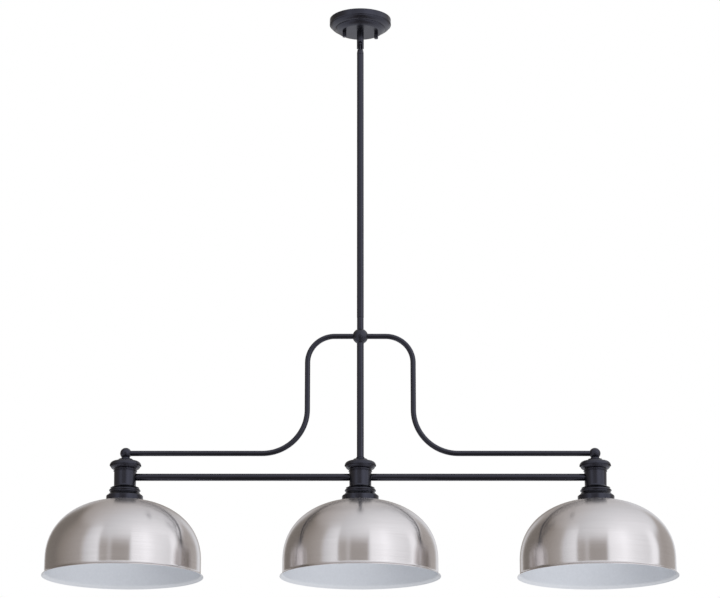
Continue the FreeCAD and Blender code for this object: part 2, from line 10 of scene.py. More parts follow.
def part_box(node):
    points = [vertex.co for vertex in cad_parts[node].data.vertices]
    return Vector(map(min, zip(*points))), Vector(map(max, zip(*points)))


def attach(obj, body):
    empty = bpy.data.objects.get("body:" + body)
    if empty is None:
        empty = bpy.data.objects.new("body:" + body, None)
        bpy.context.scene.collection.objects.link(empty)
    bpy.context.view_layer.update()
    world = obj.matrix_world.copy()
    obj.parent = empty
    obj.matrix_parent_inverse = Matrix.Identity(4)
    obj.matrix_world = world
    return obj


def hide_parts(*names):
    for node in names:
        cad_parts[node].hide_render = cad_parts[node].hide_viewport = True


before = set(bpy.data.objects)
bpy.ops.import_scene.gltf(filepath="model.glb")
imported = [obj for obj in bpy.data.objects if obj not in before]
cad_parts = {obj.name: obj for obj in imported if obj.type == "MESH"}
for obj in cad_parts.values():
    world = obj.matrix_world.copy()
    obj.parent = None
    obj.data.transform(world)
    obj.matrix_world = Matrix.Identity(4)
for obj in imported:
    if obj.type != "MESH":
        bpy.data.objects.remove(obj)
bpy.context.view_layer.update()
mm = 0.001
hair = 0.001 * mm               # points closer than this are one point
sides = ("left", "middle", "right")
print("frame loaded:", len(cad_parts), "nodes")


# Camera: in front of the row and below the shades, looking a little up

cameraSetup = {
    "focalLength": 120.0,                 # mm
    "sensorWidth": 36.0,                  # mm
    "place": (-0.0007, -4.874, -2.0196),
    "pitchUp": 15.88,                     # degrees above level
}


def addCamera(setup):
    data = bpy.data.cameras.new("camera")
    data.lens = setup["focalLength"]
    data.sensor_width = setup["sensorWidth"]
    camera = bpy.data.objects.new("camera", data)
    camera.location = setup["place"]
    camera.rotation_euler = (math.radians(90.0 + setup["pitchUp"]), 0.0, 0.0)
    bpy.context.scene.collection.objects.link(camera)
    bpy.context.scene.camera = camera


addCamera(cameraSetup)


# Nodes and colours

# Adds a node. Inputs may be numbers, colours, sockets or other nodes; stops fill a colour ramp.
def addNode(tree, kind, inputs=None, stops=None, **settings):
    node = tree.nodes.new(kind)
    for name, value in settings.items():
        setattr(node, name, value)
    for name, value in (inputs or {}).items():
        if isinstance(value, bpy.types.Node):
            value = value.outputs[0]
        if isinstance(value, bpy.types.NodeSocket):
            tree.links.new(value, node.inputs[name])
        else:
            node.inputs[name].default_value = value
    if stops:
        elements = node.color_ramp.elements
        while len(elements) < len(stops):
            elements.new(1.0)
        for element, (position, colour) in zip(elements, stops):
            element.position = position
            element.color = colour
    return node


def linear(hexColour):
    channels = [int(hexColour[i:i + 2], 16) / 255.0 for i in (1, 3, 5)]
    return [c / 12.92 if c <= 0.04045 else ((c + 0.055) / 1.055) ** 2.4 for c in channels] + [1.0]


def newMaterial(name):
    material = bpy.data.materials.new(name)
    material.use_nodes = True
    material.node_tree.nodes.clear()
    return material, material.node_tree


# Finishes

castCoat = {
    # painted shade in the grain's valleys (first tone) and painted light on its crests (second tone)
    "paintedShadeValley": "#08080b",
    "crest": "#0f0f13",
    "sheen": "#dfe0fa",     # the coat mirrors light a little blue
    "gloss": 0.8,
    "roughness": 0.28,
    "grain": 2.6 * mm,      # real sand marks are about 0.5 mm, drawn coarser so that they show
    "relief": 0.8 * mm,
    "emboss": 0.9,          # how strongly the relief shades
}
satinCoat = {
    "low": "#09090c",
    "high": "#0e0e12",
    "sheen": "#dfe0fa",
    "gloss": 0.8,
    "roughness": 0.24,
    "roughnessSpread": 0.08,
    "grain": 1.2 * mm,      # sprayed skin, drawn a little coarser than it is
    "relief": 0.006 * mm,
    "emboss": 0.8,
    "cloud": 30.0 * mm,     # slow drift of the gloss along a tube
}
nickel = {
    "dark": "#d4cfce",
    "light": "#e1dddc",
    "roughness": 0.175,
    "roughnessSpread": 0.05,
    "stretch": 0.95,        # how far brushing smears a reflection up and down
    "line": 0.6 * mm,       # brushed lines are about 0.1 mm apart, drawn coarser so that they show
    "lineLength": 120.0 * mm,
    "relief": 0.003 * mm,
    "emboss": 0.5,
}
enamel = {
    "colour": "#e6e9ef",
    # painted shadow: the ripple's hollows take this darker tone, and its rises the colour above
    "shadow": "#e2e5eb",
    "roughness": 0.3,
    "ripple": 5.0 * mm,     # orange peel of a sprayed gloss coat
    "relief": 0.006 * mm,
    "emboss": 0.4,
}
zincPlate = {
    "dark": "#9ea2a8",
    "light": "#c6c9cd",
    "roughness": 0.3,
    "roughnessSpread": 0.12,
    "spangle": 1.2 * mm,
    "relief": 0.01 * mm,
    "emboss": 0.4,
}
greenScrew = {
    "dark": "#0f5a2a",
    "light": "#1d8040",
    "roughness": 0.35,
    "roughnessSpread": 0.12,
    "spangle": 0.8 * mm,
    "relief": 0.01 * mm,
    "emboss": 0.4,
}
porcelain = {
    "dark": "#e6e1d5",
    "light": "#f0ece3",
    "roughness": 0.1,
    "glaze": 0.6,
    "cloud": 6.0 * mm,
    "relief": 0.06 * mm,
    "emboss": 0.3,
}
brassSheet = {
    "dark": "#ad8440",
    "light": "#d8b36b",
    "roughness": 0.24,
    "roughnessSpread": 0.12,
    "spangle": 3.0 * mm,
    "relief": 0.01 * mm,
    "emboss": 0.4,
}
phenolic = {
    "dark": "#171615",
    "light": "#272523",
    "roughness": 0.38,
    "fleck": 0.7 * mm,
    "relief": 0.02 * mm,
    "emboss": 0.5,
}


# A noise of this real size on the piece, and the tone that it gives between two colours
def mottled(tree, size, low, high, detail=2.0, roughness=0.5, spread=(0.3, 0.7)):
    place = addNode(tree, "ShaderNodeTexCoord").outputs["Object"]
    noise = addNode(tree, "ShaderNodeTexNoise", {
        "Vector": place, "Scale": 1.0 / size, "Detail": detail, "Roughness": roughness}).outputs[0]
    tone = addNode(tree, "ShaderNodeValToRGB", {"Fac": noise},
                   stops=((spread[0], linear(low)), (spread[1], linear(high))))
    return noise, tone


# The surface of a material: a shader with these settings under the finish's relief
def finished(tree, settings, height, finish):
    bump = addNode(tree, "ShaderNodeBump", {
        "Height": height, "Strength": finish["emboss"], "Distance": finish["relief"]})
    shader = addNode(tree, "ShaderNodeBsdfPrincipled", {**settings, "Normal": bump})
    addNode(tree, "ShaderNodeOutputMaterial", {"Surface": shader})


# Cast parts under powder coat: matt black with a fine sandy skin that breaks up the highlight. Its tone
# follows the grain's relief: painted shade in the valleys and painted light on the crests
def makeCastCoat(name, finish):
    material, tree = newMaterial(name)
    # one noise gives both the relief and the tone, so the valleys get painted shade and the crests painted
    # light
    grain, tone = mottled(tree, finish["grain"], finish["paintedShadeValley"], finish["crest"],
                          detail=3.0, roughness=0.6, spread=(0.36, 0.66))
    finished(tree, {
        "Base Color": tone, "Roughness": finish["roughness"], "Specular Tint": linear(finish["sheen"]),
        "Specular IOR Level": finish["gloss"]}, grain, finish)
    return material


# Tubes, turned and spun parts under the same coat: smoother, so a satin streak of light runs along them
def makeSatinCoat(name, finish):
    material, tree = newMaterial(name)
    cloud, tone = mottled(tree, finish["cloud"], finish["low"], finish["high"], detail=3.0)
    place = addNode(tree, "ShaderNodeTexCoord").outputs["Object"]
    grain = addNode(tree, "ShaderNodeTexNoise", {
        "Vector": place, "Scale": 1.0 / finish["grain"], "Detail": 2.0})
    gloss = addNode(tree, "ShaderNodeMapRange", {
        "Value": cloud, "To Min": finish["roughness"],
        "To Max": finish["roughness"] + finish["roughnessSpread"]})
    finished(tree, {
        "Base Color": tone, "Roughness": gloss, "Specular Tint": linear(finish["sheen"]),
        "Specular IOR Level": finish["gloss"]}, grain, finish)
    return material


# Nickel plate brushed round the dome: crisp edges across a reflection, smeared up and down.
# The piece's own map gives the way round (U) and the distance down the dome (V, in metres).
def makeBrushedNickel(name, finish):
    material, tree = newMaterial(name)
    place = addNode(tree, "ShaderNodeTexCoord")
    down = addNode(tree, "ShaderNodeSeparateXYZ", {"Vector": place.outputs["UV"]})
    spot = addNode(tree, "ShaderNodeSeparateXYZ", {"Vector": place.outputs["Object"]})
    stretched = {
        axis: addNode(tree, "ShaderNodeMath", {
            0: spot.outputs[axis], 1: 1.0 / finish["lineLength"]}, operation="MULTIPLY")
        for axis in "XY"}
    across = addNode(tree, "ShaderNodeMath", {
        0: down.outputs["Y"], 1: 1.0 / finish["line"]}, operation="MULTIPLY")
    along = addNode(tree, "ShaderNodeCombineXYZ", {**stretched, "Z": across})
    lines = addNode(tree, "ShaderNodeTexNoise", {
        "Vector": along, "Scale": 1.0, "Detail": 4.0, "Roughness": 0.7})
    faint, strong = 0.3, 0.7        # what the noise mostly keeps to
    tone = addNode(tree, "ShaderNodeValToRGB", {"Fac": lines.outputs[0]},
                   stops=((faint, linear(finish["dark"])), (strong, linear(finish["light"]))))
    gloss = addNode(tree, "ShaderNodeMapRange", {
        "Value": lines.outputs[0], "From Min": faint, "From Max": strong,
        "To Min": finish["roughness"], "To Max": finish["roughness"] + finish["roughnessSpread"]})
    quarterTurn = 0.25              # turns the smear from along the lines to across them
    way = addNode(tree, "ShaderNodeTangent", direction_type="UV_MAP", uv_map="surface")
    finished(tree, {
        "Base Color": tone, "Metallic": 1.0, "Roughness": gloss, "Anisotropic": finish["stretch"],
        "Anisotropic Rotation": quarterTurn, "Tangent": way}, lines.outputs[0], finish)
    return material


# Sprayed and stoved white enamel: a soft gloss with a slight orange peel, whose hollows get a painted
# shadow from the same noise as its relief
def makeEnamel(name, finish):
    material, tree = newMaterial(name)
    ripple, tone = mottled(tree, finish["ripple"], finish["shadow"], finish["colour"])
    finished(tree, {"Base Color": tone, "Roughness": finish["roughness"]}, ripple, finish)
    return material


# Plated or rolled sheet metal: a bright metal with a faint mottle of crystals
def makeSheetMetal(name, finish):
    material, tree = newMaterial(name)
    place = addNode(tree, "ShaderNodeTexCoord").outputs["Object"]
    crystals = addNode(tree, "ShaderNodeTexVoronoi", {"Vector": place, "Scale": 1.0 / finish["spangle"]})
    grey = addNode(tree, "ShaderNodeRGBToBW", {"Color": crystals.outputs["Color"]})
    tone = addNode(tree, "ShaderNodeValToRGB", {"Fac": grey},
                   stops=((0.2, linear(finish["dark"])), (0.8, linear(finish["light"]))))
    gloss = addNode(tree, "ShaderNodeMapRange", {
        "Value": grey, "To Min": finish["roughness"],
        "To Max": finish["roughness"] + finish["roughnessSpread"]})
    finished(tree, {
        "Base Color": tone, "Metallic": 1.0, "Roughness": gloss}, crystals.outputs["Distance"], finish)
    return material


# Glazed porcelain: a hard wet gloss over a slightly uneven cream body
def makePorcelain(name, finish):
    material, tree = newMaterial(name)
    cloud, tone = mottled(tree, finish["cloud"], finish["dark"], finish["light"])
    settings = {"Base Color": tone, "Roughness": finish["roughness"], "Coat Weight": finish["glaze"]}
    finished(tree, settings, cloud, finish)
    return material


# Moulded phenolic: a dull black with fine flecks of its filler
def makePhenolic(name, finish):
    material, tree = newMaterial(name)
    fleck, tone = mottled(tree, finish["fleck"], finish["dark"], finish["light"], spread=(0.45, 0.75))
    finished(tree, {"Base Color": tone, "Roughness": finish["roughness"]}, fleck, finish)
    return material


castBlack = makeCastCoat("castPowderCoat", castCoat)
satinBlack = makeSatinCoat("satinPowderCoat", satinCoat)
brushedNickel = makeBrushedNickel("brushedNickel", nickel)
whiteEnamel = makeEnamel("whiteEnamel", enamel)
brightZinc = makeSheetMetal("brightZinc", zincPlate)
greenZinc = makeSheetMetal("greenZinc", greenScrew)
glazedPorcelain = makePorcelain("glazedPorcelain", porcelain)
rolledBrass = makeSheetMetal("rolledBrass", brassSheet)
mouldedPhenolic = makePhenolic("mouldedPhenolic", phenolic)
print("finishes made:", len(bpy.data.materials))


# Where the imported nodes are

class Place:
    def __init__(self, node):
        self.low, self.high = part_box(node)
        self.x = (self.low.x + self.high.x) / 2
        self.top = self.high.z
        self.bottom = self.low.z
        self.radius = (self.high.y - self.low.y) / 2


# Geometry Nodes

# A new tree with named inputs, each of the kind of its first value
def newTree(name, given):
    tree = bpy.data.node_groups.new(name, "GeometryNodeTree")
    kinds = {float: "NodeSocketFloat", int: "NodeSocketInt", bpy.types.Material: "NodeSocketMaterial"}
    for label, value in given.items():
        socket = tree.interface.new_socket(name=label, in_out="INPUT", socket_type=kinds[type(value)])
        socket.default_value = value
    tree.interface.new_socket(name="Geometry", in_out="OUTPUT", socket_type="NodeSocketGeometry")
    return tree, tree.nodes.new("NodeGroupInput").outputs


# What a tree makes with these inputs, and any modifiers after it, as a plain mesh
def grownMesh(name, tree, values, finish=None):
    holder = bpy.data.objects.new(name + "Holder", bpy.data.meshes.new(name + "Seed"))
    bpy.context.scene.collection.objects.link(holder)
    modifier = holder.modifiers.new("shape", "NODES")
    modifier.node_group = tree
    for item in tree.interface.items_tree:
        if item.in_out == "INPUT" and item.name in values:
            modifier[item.identifier] = values[item.name]
    if finish:
        finish(holder)
    bpy.context.view_layer.update()
    evaluated = holder.evaluated_get(bpy.context.evaluated_depsgraph_get())
    mesh = bpy.data.meshes.new_from_object(evaluated)
    mesh.name = name
    if mesh.materials[0] is None:       # the empty slot of the mesh that the tree starts from
        mesh.materials.pop(index=0)
    bpy.data.objects.remove(holder)
    return mesh


# A grid of rows that closes to a turned skin. Gives the grid, each point's row and its share of the
# way round.
def rowGrid(tree, segments, rows):
    wraps = addNode(tree, "FunctionNodeIntegerMath", {0: segments, 1: 1}, operation="ADD")
    grid = addNode(tree, "GeometryNodeMeshGrid", {
        "Size X": 1.0, "Size Y": 1.0, "Vertices X": wraps, "Vertices Y": rows})
    spot = addNode(tree, "ShaderNodeSeparateXYZ", {"Vector": addNode(tree, "GeometryNodeInputPosition")})
    lastRow = addNode(tree, "ShaderNodeMath", {0: rows, 1: 1.0}, operation="SUBTRACT")
    share = addNode(tree, "ShaderNodeMath", {0: spot.outputs["Y"], 1: 0.5}, operation="ADD")
    row = addNode(tree, "ShaderNodeMath", {0: share, 1: lastRow}, operation="MULTIPLY")
    roundShare = addNode(tree, "ShaderNodeMath", {0: spot.outputs["X"], 1: 0.5}, operation="ADD")
    return grid, row, roundShare


# Where a point is, so far round an upright axis
def turnedPlace(tree, roundShare, radius, z, centreX, centreY=0.0):
    angle = addNode(tree, "ShaderNodeMath", {0: roundShare, 1: 2 * math.pi}, operation="MULTIPLY")
    east = addNode(tree, "ShaderNodeMath", {0: angle}, operation="COSINE")
    north = addNode(tree, "ShaderNodeMath", {0: angle}, operation="SINE")
    x = addNode(tree, "ShaderNodeMath", {0: east, 1: radius, 2: centreX}, operation="MULTIPLY_ADD")
    y = addNode(tree, "ShaderNodeMath", {0: north, 1: radius, 2: centreY}, operation="MULTIPLY_ADD")
    return addNode(tree, "ShaderNodeCombineXYZ", {"X": x, "Y": y, "Z": z})


# A shade by rule: a flat seat with a hole, a superellipse dome, a straight skirt and a flared lip.
# One closed sheet of rows: down the outside, round the rim, up the inside and back to the hole.
def spunShadeTree(form, outside, inside):
    tree, given = newTree("spunShade", {**form, "Centre X": 0.0, "Top": 0.0, "Rim": 0.0,
                                        "Outside": outside, "Inside": inside})
    rows = addNode(tree, "FunctionNodeIntegerMath", {
        0: given["Rows"], 1: 2, 2: 3}, operation="MULTIPLY_ADD")
    grid, row, roundShare = rowGrid(tree, given["Segments"], rows)

    # The row's number down the wall, the same outside and inside, and 1 on the inside wall
    turn = addNode(tree, "ShaderNodeMath", {0: given["Rows"], 1: 0.5}, operation="ADD")
    away = addNode(tree, "ShaderNodeMath", {0: turn, 1: row}, operation="SUBTRACT")
    apart = addNode(tree, "ShaderNodeMath", {0: away}, operation="ABSOLUTE")
    mirrored = addNode(tree, "ShaderNodeMath", {0: turn, 1: apart}, operation="SUBTRACT")
    wallRow = addNode(tree, "ShaderNodeMath", {0: mirrored, 1: 0.0}, operation="MAXIMUM")
    pastRim = addNode(tree, "ShaderNodeMath", {0: row, 1: turn}, operation="GREATER_THAN")
    beforeEnd = addNode(tree, "ShaderNodeMath", {0: mirrored, 1: -0.5}, operation="GREATER_THAN")
    inner = addNode(tree, "ShaderNodeMath", {0: pastRim, 1: beforeEnd}, operation="MULTIPLY")
    inset = addNode(tree, "ShaderNodeMath", {0: inner, 1: given["Wall"]}, operation="MULTIPLY")

    # How far each row is through the seat, the dome and the skirt with its lip
    lipStart = addNode(tree, "ShaderNodeMath", {
        0: given["Rows"], 1: given["Lip Rows"]}, operation="SUBTRACT")
    seatPart = addNode(tree, "ShaderNodeMapRange", {"Value": wallRow, "From Max": given["Seat Rows"]})
    domePart = addNode(tree, "ShaderNodeMapRange", {
        "Value": wallRow, "From Min": given["Seat Rows"], "From Max": lipStart})
    lipPart = addNode(tree, "ShaderNodeMapRange", {
        "Value": wallRow, "From Min": lipStart, "From Max": given["Rows"], "To Min": 1.0, "To Max": 0.0})
    closing = addNode(tree, "ShaderNodeMath", {0: lipPart, 1: given["Lip Crowding"]}, operation="POWER")
    skirtPart = addNode(tree, "ShaderNodeMath", {0: 1.0, 1: closing}, operation="SUBTRACT")

    # The dome: r = A sin(w) ^ (2/n) and z = B cos(w) ^ (2/n), from the seat's edge to w = 90 degrees
    outer, rimRadius, hole = [
        addNode(tree, "ShaderNodeMath", {0: given[name], 1: 0.5}, operation="MULTIPLY")
        for name in ("Dome Diameter", "Rim Diameter", "Hole Diameter")]
    power = addNode(tree, "ShaderNodeMath", {0: 2.0, 1: given["Fullness"]}, operation="DIVIDE")
    root = addNode(tree, "ShaderNodeMath", {0: 1.0, 1: given["Fullness"]}, operation="DIVIDE")
    halfPower = addNode(tree, "ShaderNodeMath", {0: given["Fullness"], 1: 0.5}, operation="MULTIPLY")
    seatRatio = addNode(tree, "ShaderNodeMath", {
        0: given["Seat Diameter"], 1: given["Dome Diameter"]}, operation="DIVIDE")
    seatPower = addNode(tree, "ShaderNodeMath", {0: seatRatio, 1: given["Fullness"]}, operation="POWER")
    seatLeft = addNode(tree, "ShaderNodeMath", {0: 1.0, 1: seatPower}, operation="SUBTRACT")
    seatRoot = addNode(tree, "ShaderNodeMath", {0: seatLeft, 1: root}, operation="POWER")
    seatRise = addNode(tree, "ShaderNodeMath", {0: seatRoot, 1: given["Dome Height"]}, operation="MULTIPLY")
    across, up, innerRise = [
        addNode(tree, "ShaderNodeMath", {0: length, 1: inset}, operation="SUBTRACT")
        for length in (outer, given["Dome Height"], seatRise)]
    riseRatio = addNode(tree, "ShaderNodeMath", {0: innerRise, 1: up}, operation="DIVIDE")
    startCosine = addNode(tree, "ShaderNodeMath", {0: riseRatio, 1: halfPower}, operation="POWER")
    start = addNode(tree, "ShaderNodeMath", {0: startCosine}, operation="ARCCOSINE")
    sweep = addNode(tree, "ShaderNodeMapRange", {
        "Value": domePart, "To Min": start, "To Max": math.pi / 2})
    sine = addNode(tree, "ShaderNodeMath", {0: sweep}, operation="SINE")
    cosine = addNode(tree, "ShaderNodeMath", {0: sweep}, operation="COSINE")
    cosineUp = addNode(tree, "ShaderNodeMath", {0: cosine, 1: 0.0}, operation="MAXIMUM")
    sinePower = addNode(tree, "ShaderNodeMath", {0: sine, 1: power}, operation="POWER")
    cosinePower = addNode(tree, "ShaderNodeMath", {0: cosineUp, 1: power}, operation="POWER")
    domeRadius = addNode(tree, "ShaderNodeMath", {0: sinePower, 1: across}, operation="MULTIPLY")
    domeRise = addNode(tree, "ShaderNodeMath", {0: cosinePower, 1: up}, operation="MULTIPLY")

    # Heights, then the lip's flare, then the radius with the flat seat
    equator = addNode(tree, "ShaderNodeMath", {0: given["Top"], 1: seatRise}, operation="SUBTRACT")
    skirtDrop = addNode(tree, "ShaderNodeMath", {0: equator, 1: given["Rim"]}, operation="SUBTRACT")
    dropped = addNode(tree, "ShaderNodeMath", {0: skirtDrop, 1: skirtPart}, operation="MULTIPLY")
    domeZ = addNode(tree, "ShaderNodeMath", {0: equator, 1: domeRise}, operation="ADD")
    z = addNode(tree, "ShaderNodeMath", {0: domeZ, 1: dropped}, operation="SUBTRACT")
    lipTop = addNode(tree, "ShaderNodeMath", {0: given["Rim"], 1: given["Lip Height"]}, operation="ADD")
    lipEnd = addNode(tree, "ShaderNodeMath", {0: given["Rim"], 1: given["Lip Edge"]}, operation="ADD")
    flared = addNode(tree, "ShaderNodeMapRange", {"Value": z, "From Min": lipTop, "From Max": lipEnd})
    trumpet = addNode(tree, "ShaderNodeMath", {0: flared, 1: given["Lip Hollow"]}, operation="POWER")
    flareWidth = addNode(tree, "ShaderNodeMath", {0: rimRadius, 1: outer}, operation="SUBTRACT")
    flare = addNode(tree, "ShaderNodeMath", {0: trumpet, 1: flareWidth}, operation="MULTIPLY")
    wallRadius = addNode(tree, "ShaderNodeMath", {0: domeRadius, 1: flare}, operation="ADD")
    radius = addNode(tree, "ShaderNodeMapRange", {"Value": seatPart, "To Min": hole, "To Max": wallRadius})
    place = turnedPlace(tree, roundShare, radius, z, given["Centre X"])

    # The map for the brushed lines: U is the way round, V the distance down the dome
    mapU = addNode(tree, "ShaderNodeSeparateXYZ", {"Vector": grid.outputs["UV Map"]})
    mapV = addNode(tree, "ShaderNodeMath", {0: radius, 1: z}, operation="SUBTRACT")
    surface = addNode(tree, "ShaderNodeCombineXYZ", {"X": mapU.outputs["X"], "Y": mapV})
    mapped = addNode(tree, "GeometryNodeStoreNamedAttribute", {
        "Geometry": grid.outputs["Mesh"], "Name": "surface", "Value": surface},
        data_type="FLOAT2", domain="CORNER")
    kept = tree.nodes.new("GeometryNodeCaptureAttribute")
    kept.capture_items.new("FLOAT", "inner")
    tree.links.new(mapped.outputs[0], kept.inputs["Geometry"])
    tree.links.new(inner.outputs[0], kept.inputs["inner"])
    shaped = addNode(tree, "GeometryNodeSetPosition", {
        "Geometry": kept.outputs["Geometry"], "Position": place})
    merged = addNode(tree, "GeometryNodeMergeByDistance", {"Geometry": shaped, "Distance": hair})
    outward = addNode(tree, "GeometryNodeFlipFaces", {"Mesh": merged})
    smooth = addNode(tree, "GeometryNodeSetShadeSmooth", {"Geometry": outward})
    real = addNode(tree, "GeometryNodeRealizeInstances", {"Geometry": smooth})
    metal = addNode(tree, "GeometryNodeSetMaterial", {"Geometry": real, "Material": given["Outside"]})
    enamelStart = 0.25      # below a half, so that the rim's edge is enamelled with the inside
    painted = addNode(tree, "ShaderNodeMath", {
        0: kept.outputs["inner"], 1: enamelStart}, operation="GREATER_THAN")
    both = addNode(tree, "GeometryNodeSetMaterial", {
        "Geometry": metal, "Selection": painted, "Material": given["Inside"]})
    addNode(tree, "NodeGroupOutput", {"Geometry": both})
    return tree


# A round rod or ring with ridges: one start and a rise make a thread, many and no rise make a knurl.
# Rows run from the bore's foot up the ridged wall and in to the bore's top, then down a bore if there
# is one. With many bore rows the bore follows the ridges, as in a thread rolled in thin sheet.
def ridgedRodTree(finish):
    tree, given = newTree("ridgedRod", {
        "Diameter": 0.01, "Bore": 0.0, "Low": 0.0, "High": 0.02, "Centre X": 0.0, "Centre Y": 0.0,
        "Ridge Depth": 0.0004, "Bore Ridge": 0.0, "Ridges": 1, "Turns Per Metre": 0.0, "Run Out": 0.001,
        "Wall Rows": 10, "Bore Rows": 1, "Segments": 24, "Finish": finish})
    ends = addNode(tree, "FunctionNodeIntegerMath", {0: given["Bore Rows"], 1: 2}, operation="ADD")
    rows = addNode(tree, "FunctionNodeIntegerMath", {0: given["Wall Rows"], 1: ends}, operation="ADD")
    grid, row, roundShare = rowGrid(tree, given["Segments"], rows)
    wallEnd = addNode(tree, "ShaderNodeMath", {0: given["Wall Rows"], 1: 0.5}, operation="ADD")
    boreTop = addNode(tree, "ShaderNodeMath", {0: given["Wall Rows"], 1: 1.0}, operation="ADD")
    boreFoot = addNode(tree, "ShaderNodeMath", {0: boreTop, 1: given["Bore Rows"]}, operation="ADD")
    begun = addNode(tree, "ShaderNodeMath", {0: row, 1: 0.5}, operation="GREATER_THAN")
    rising = addNode(tree, "ShaderNodeMath", {0: row, 1: wallEnd}, operation="LESS_THAN")
    onWall = addNode(tree, "ShaderNodeMath", {0: begun, 1: rising}, operation="MULTIPLY")
    climb = addNode(tree, "ShaderNodeMapRange", {
        "Value": row, "From Min": 1.0, "From Max": given["Wall Rows"], "To Min": given["Low"],
        "To Max": given["High"]})
    descent = addNode(tree, "ShaderNodeMapRange", {
        "Value": row, "From Min": boreTop, "From Max": boreFoot, "To Min": given["High"],
        "To Max": given["Low"]})
    z = addNode(tree, "ShaderNodeMapRange", {"Value": rising, "To Min": descent, "To Max": climb})

    # The ridge: a rounded wave round and up the wall, which runs out at both ends
    roundPhase = addNode(tree, "ShaderNodeMath", {0: roundShare, 1: given["Ridges"]}, operation="MULTIPLY")
    phase = addNode(tree, "ShaderNodeMath", {
        0: z, 1: given["Turns Per Metre"], 2: roundPhase}, operation="MULTIPLY_ADD")
    wave = addNode(tree, "ShaderNodeMath", {0: phase, 1: 0.5}, operation="PINGPONG")
    crest = addNode(tree, "ShaderNodeMapRange", {
        "Value": wave, "From Max": 0.5}, interpolation_type="SMOOTHSTEP")
    fromLow = addNode(tree, "ShaderNodeMath", {0: z, 1: given["Low"]}, operation="SUBTRACT")
    fromHigh = addNode(tree, "ShaderNodeMath", {0: given["High"], 1: z}, operation="SUBTRACT")
    nearest = addNode(tree, "ShaderNodeMath", {0: fromLow, 1: fromHigh}, operation="MINIMUM")
    fade = addNode(tree, "ShaderNodeMapRange", {"Value": nearest, "From Max": given["Run Out"]})
    height = addNode(tree, "ShaderNodeMath", {0: crest, 1: fade}, operation="MULTIPLY")
    wall, bore = [
        addNode(tree, "ShaderNodeMath", {
            0: addNode(tree, "ShaderNodeMath", {0: given[width], 1: 0.5}, operation="MULTIPLY"),
            1: addNode(tree, "ShaderNodeMapRange", {
                "Value": height, "To Min": given[depth], "To Max": 0.0})}, operation="SUBTRACT")
        for width, depth in (("Diameter", "Ridge Depth"), ("Bore", "Bore Ridge"))]
    radius = addNode(tree, "ShaderNodeMapRange", {"Value": onWall, "To Min": bore, "To Max": wall})
    place = turnedPlace(tree, roundShare, radius, z, given["Centre X"], given["Centre Y"])
    shaped = addNode(tree, "GeometryNodeSetPosition", {"Geometry": grid.outputs["Mesh"], "Position": place})
    merged = addNode(tree, "GeometryNodeMergeByDistance", {"Geometry": shaped, "Distance": hair})
    real = addNode(tree, "GeometryNodeRealizeInstances", {"Geometry": merged})
    done = addNode(tree, "GeometryNodeSetMaterial", {"Geometry": real, "Material": given["Finish"]})
    addNode(tree, "NodeGroupOutput", {"Geometry": done})
    return tree


# An arm by rule: a tube out from the hub, down through two bends and out to its end ball
def bentArmTree(finish):
    tree, given = newTree("bentArm", {
        "Side": 1.0, "Start": 0.01, "Reach": 0.11, "End": 0.48, "Hub Height": 0.0, "Run Height": -0.25,
        "Upper Bend": 0.047, "Lower Bend": 0.082, "Diameter": 0.0113, "Bend Steps": 24, "Round Steps": 40,
        "Finish": finish})
    line = addNode(tree, "GeometryNodeMeshLine", {"Count": 4})
    order = addNode(tree, "GeometryNodeInputIndex")
    outward = addNode(tree, "GeometryNodeIndexSwitch", data_type="FLOAT")
    upward = addNode(tree, "GeometryNodeIndexSwitch", data_type="FLOAT")
    bends = addNode(tree, "GeometryNodeIndexSwitch", data_type="FLOAT")
    corners = (
        ("Start", "Hub Height", None),
        ("Reach", "Hub Height", "Upper Bend"),
        ("Reach", "Run Height", "Lower Bend"),
        ("End", "Run Height", None),
    )
    for switch in (outward, upward, bends):
        while len(switch.index_switch_items) < len(corners):
            switch.index_switch_items.new()
        tree.links.new(order.outputs[0], switch.inputs["Index"])
    for number, names in enumerate(corners):
        for switch, name in zip((outward, upward, bends), names):
            if name:
                tree.links.new(given[name], switch.inputs[number + 1])
    sideways = addNode(tree, "ShaderNodeMath", {0: outward, 1: given["Side"]}, operation="MULTIPLY")
    corner = addNode(tree, "ShaderNodeCombineXYZ", {"X": sideways, "Z": upward})
    placed = addNode(tree, "GeometryNodeSetPosition", {"Geometry": line, "Position": corner})
    path = addNode(tree, "GeometryNodeMeshToCurve", {"Mesh": placed})
    bent = addNode(tree, "GeometryNodeFilletCurve", {
        "Curve": path, "Count": given["Bend Steps"], "Radius": bends}, mode="POLY")
    half = addNode(tree, "ShaderNodeMath", {0: given["Diameter"], 1: 0.5}, operation="MULTIPLY")
    section = addNode(tree, "GeometryNodeCurvePrimitiveCircle", {
        "Resolution": given["Round Steps"], "Radius": half})
    tube = addNode(tree, "GeometryNodeCurveToMesh", {
        "Curve": bent, "Profile Curve": section.outputs["Curve"], "Fill Caps": True})
    real = addNode(tree, "GeometryNodeRealizeInstances", {"Geometry": tube})
    done = addNode(tree, "GeometryNodeSetMaterial", {"Geometry": real, "Material": given["Finish"]})
    addNode(tree, "NodeGroupOutput", {"Geometry": done})
    return tree


# Turned meshes

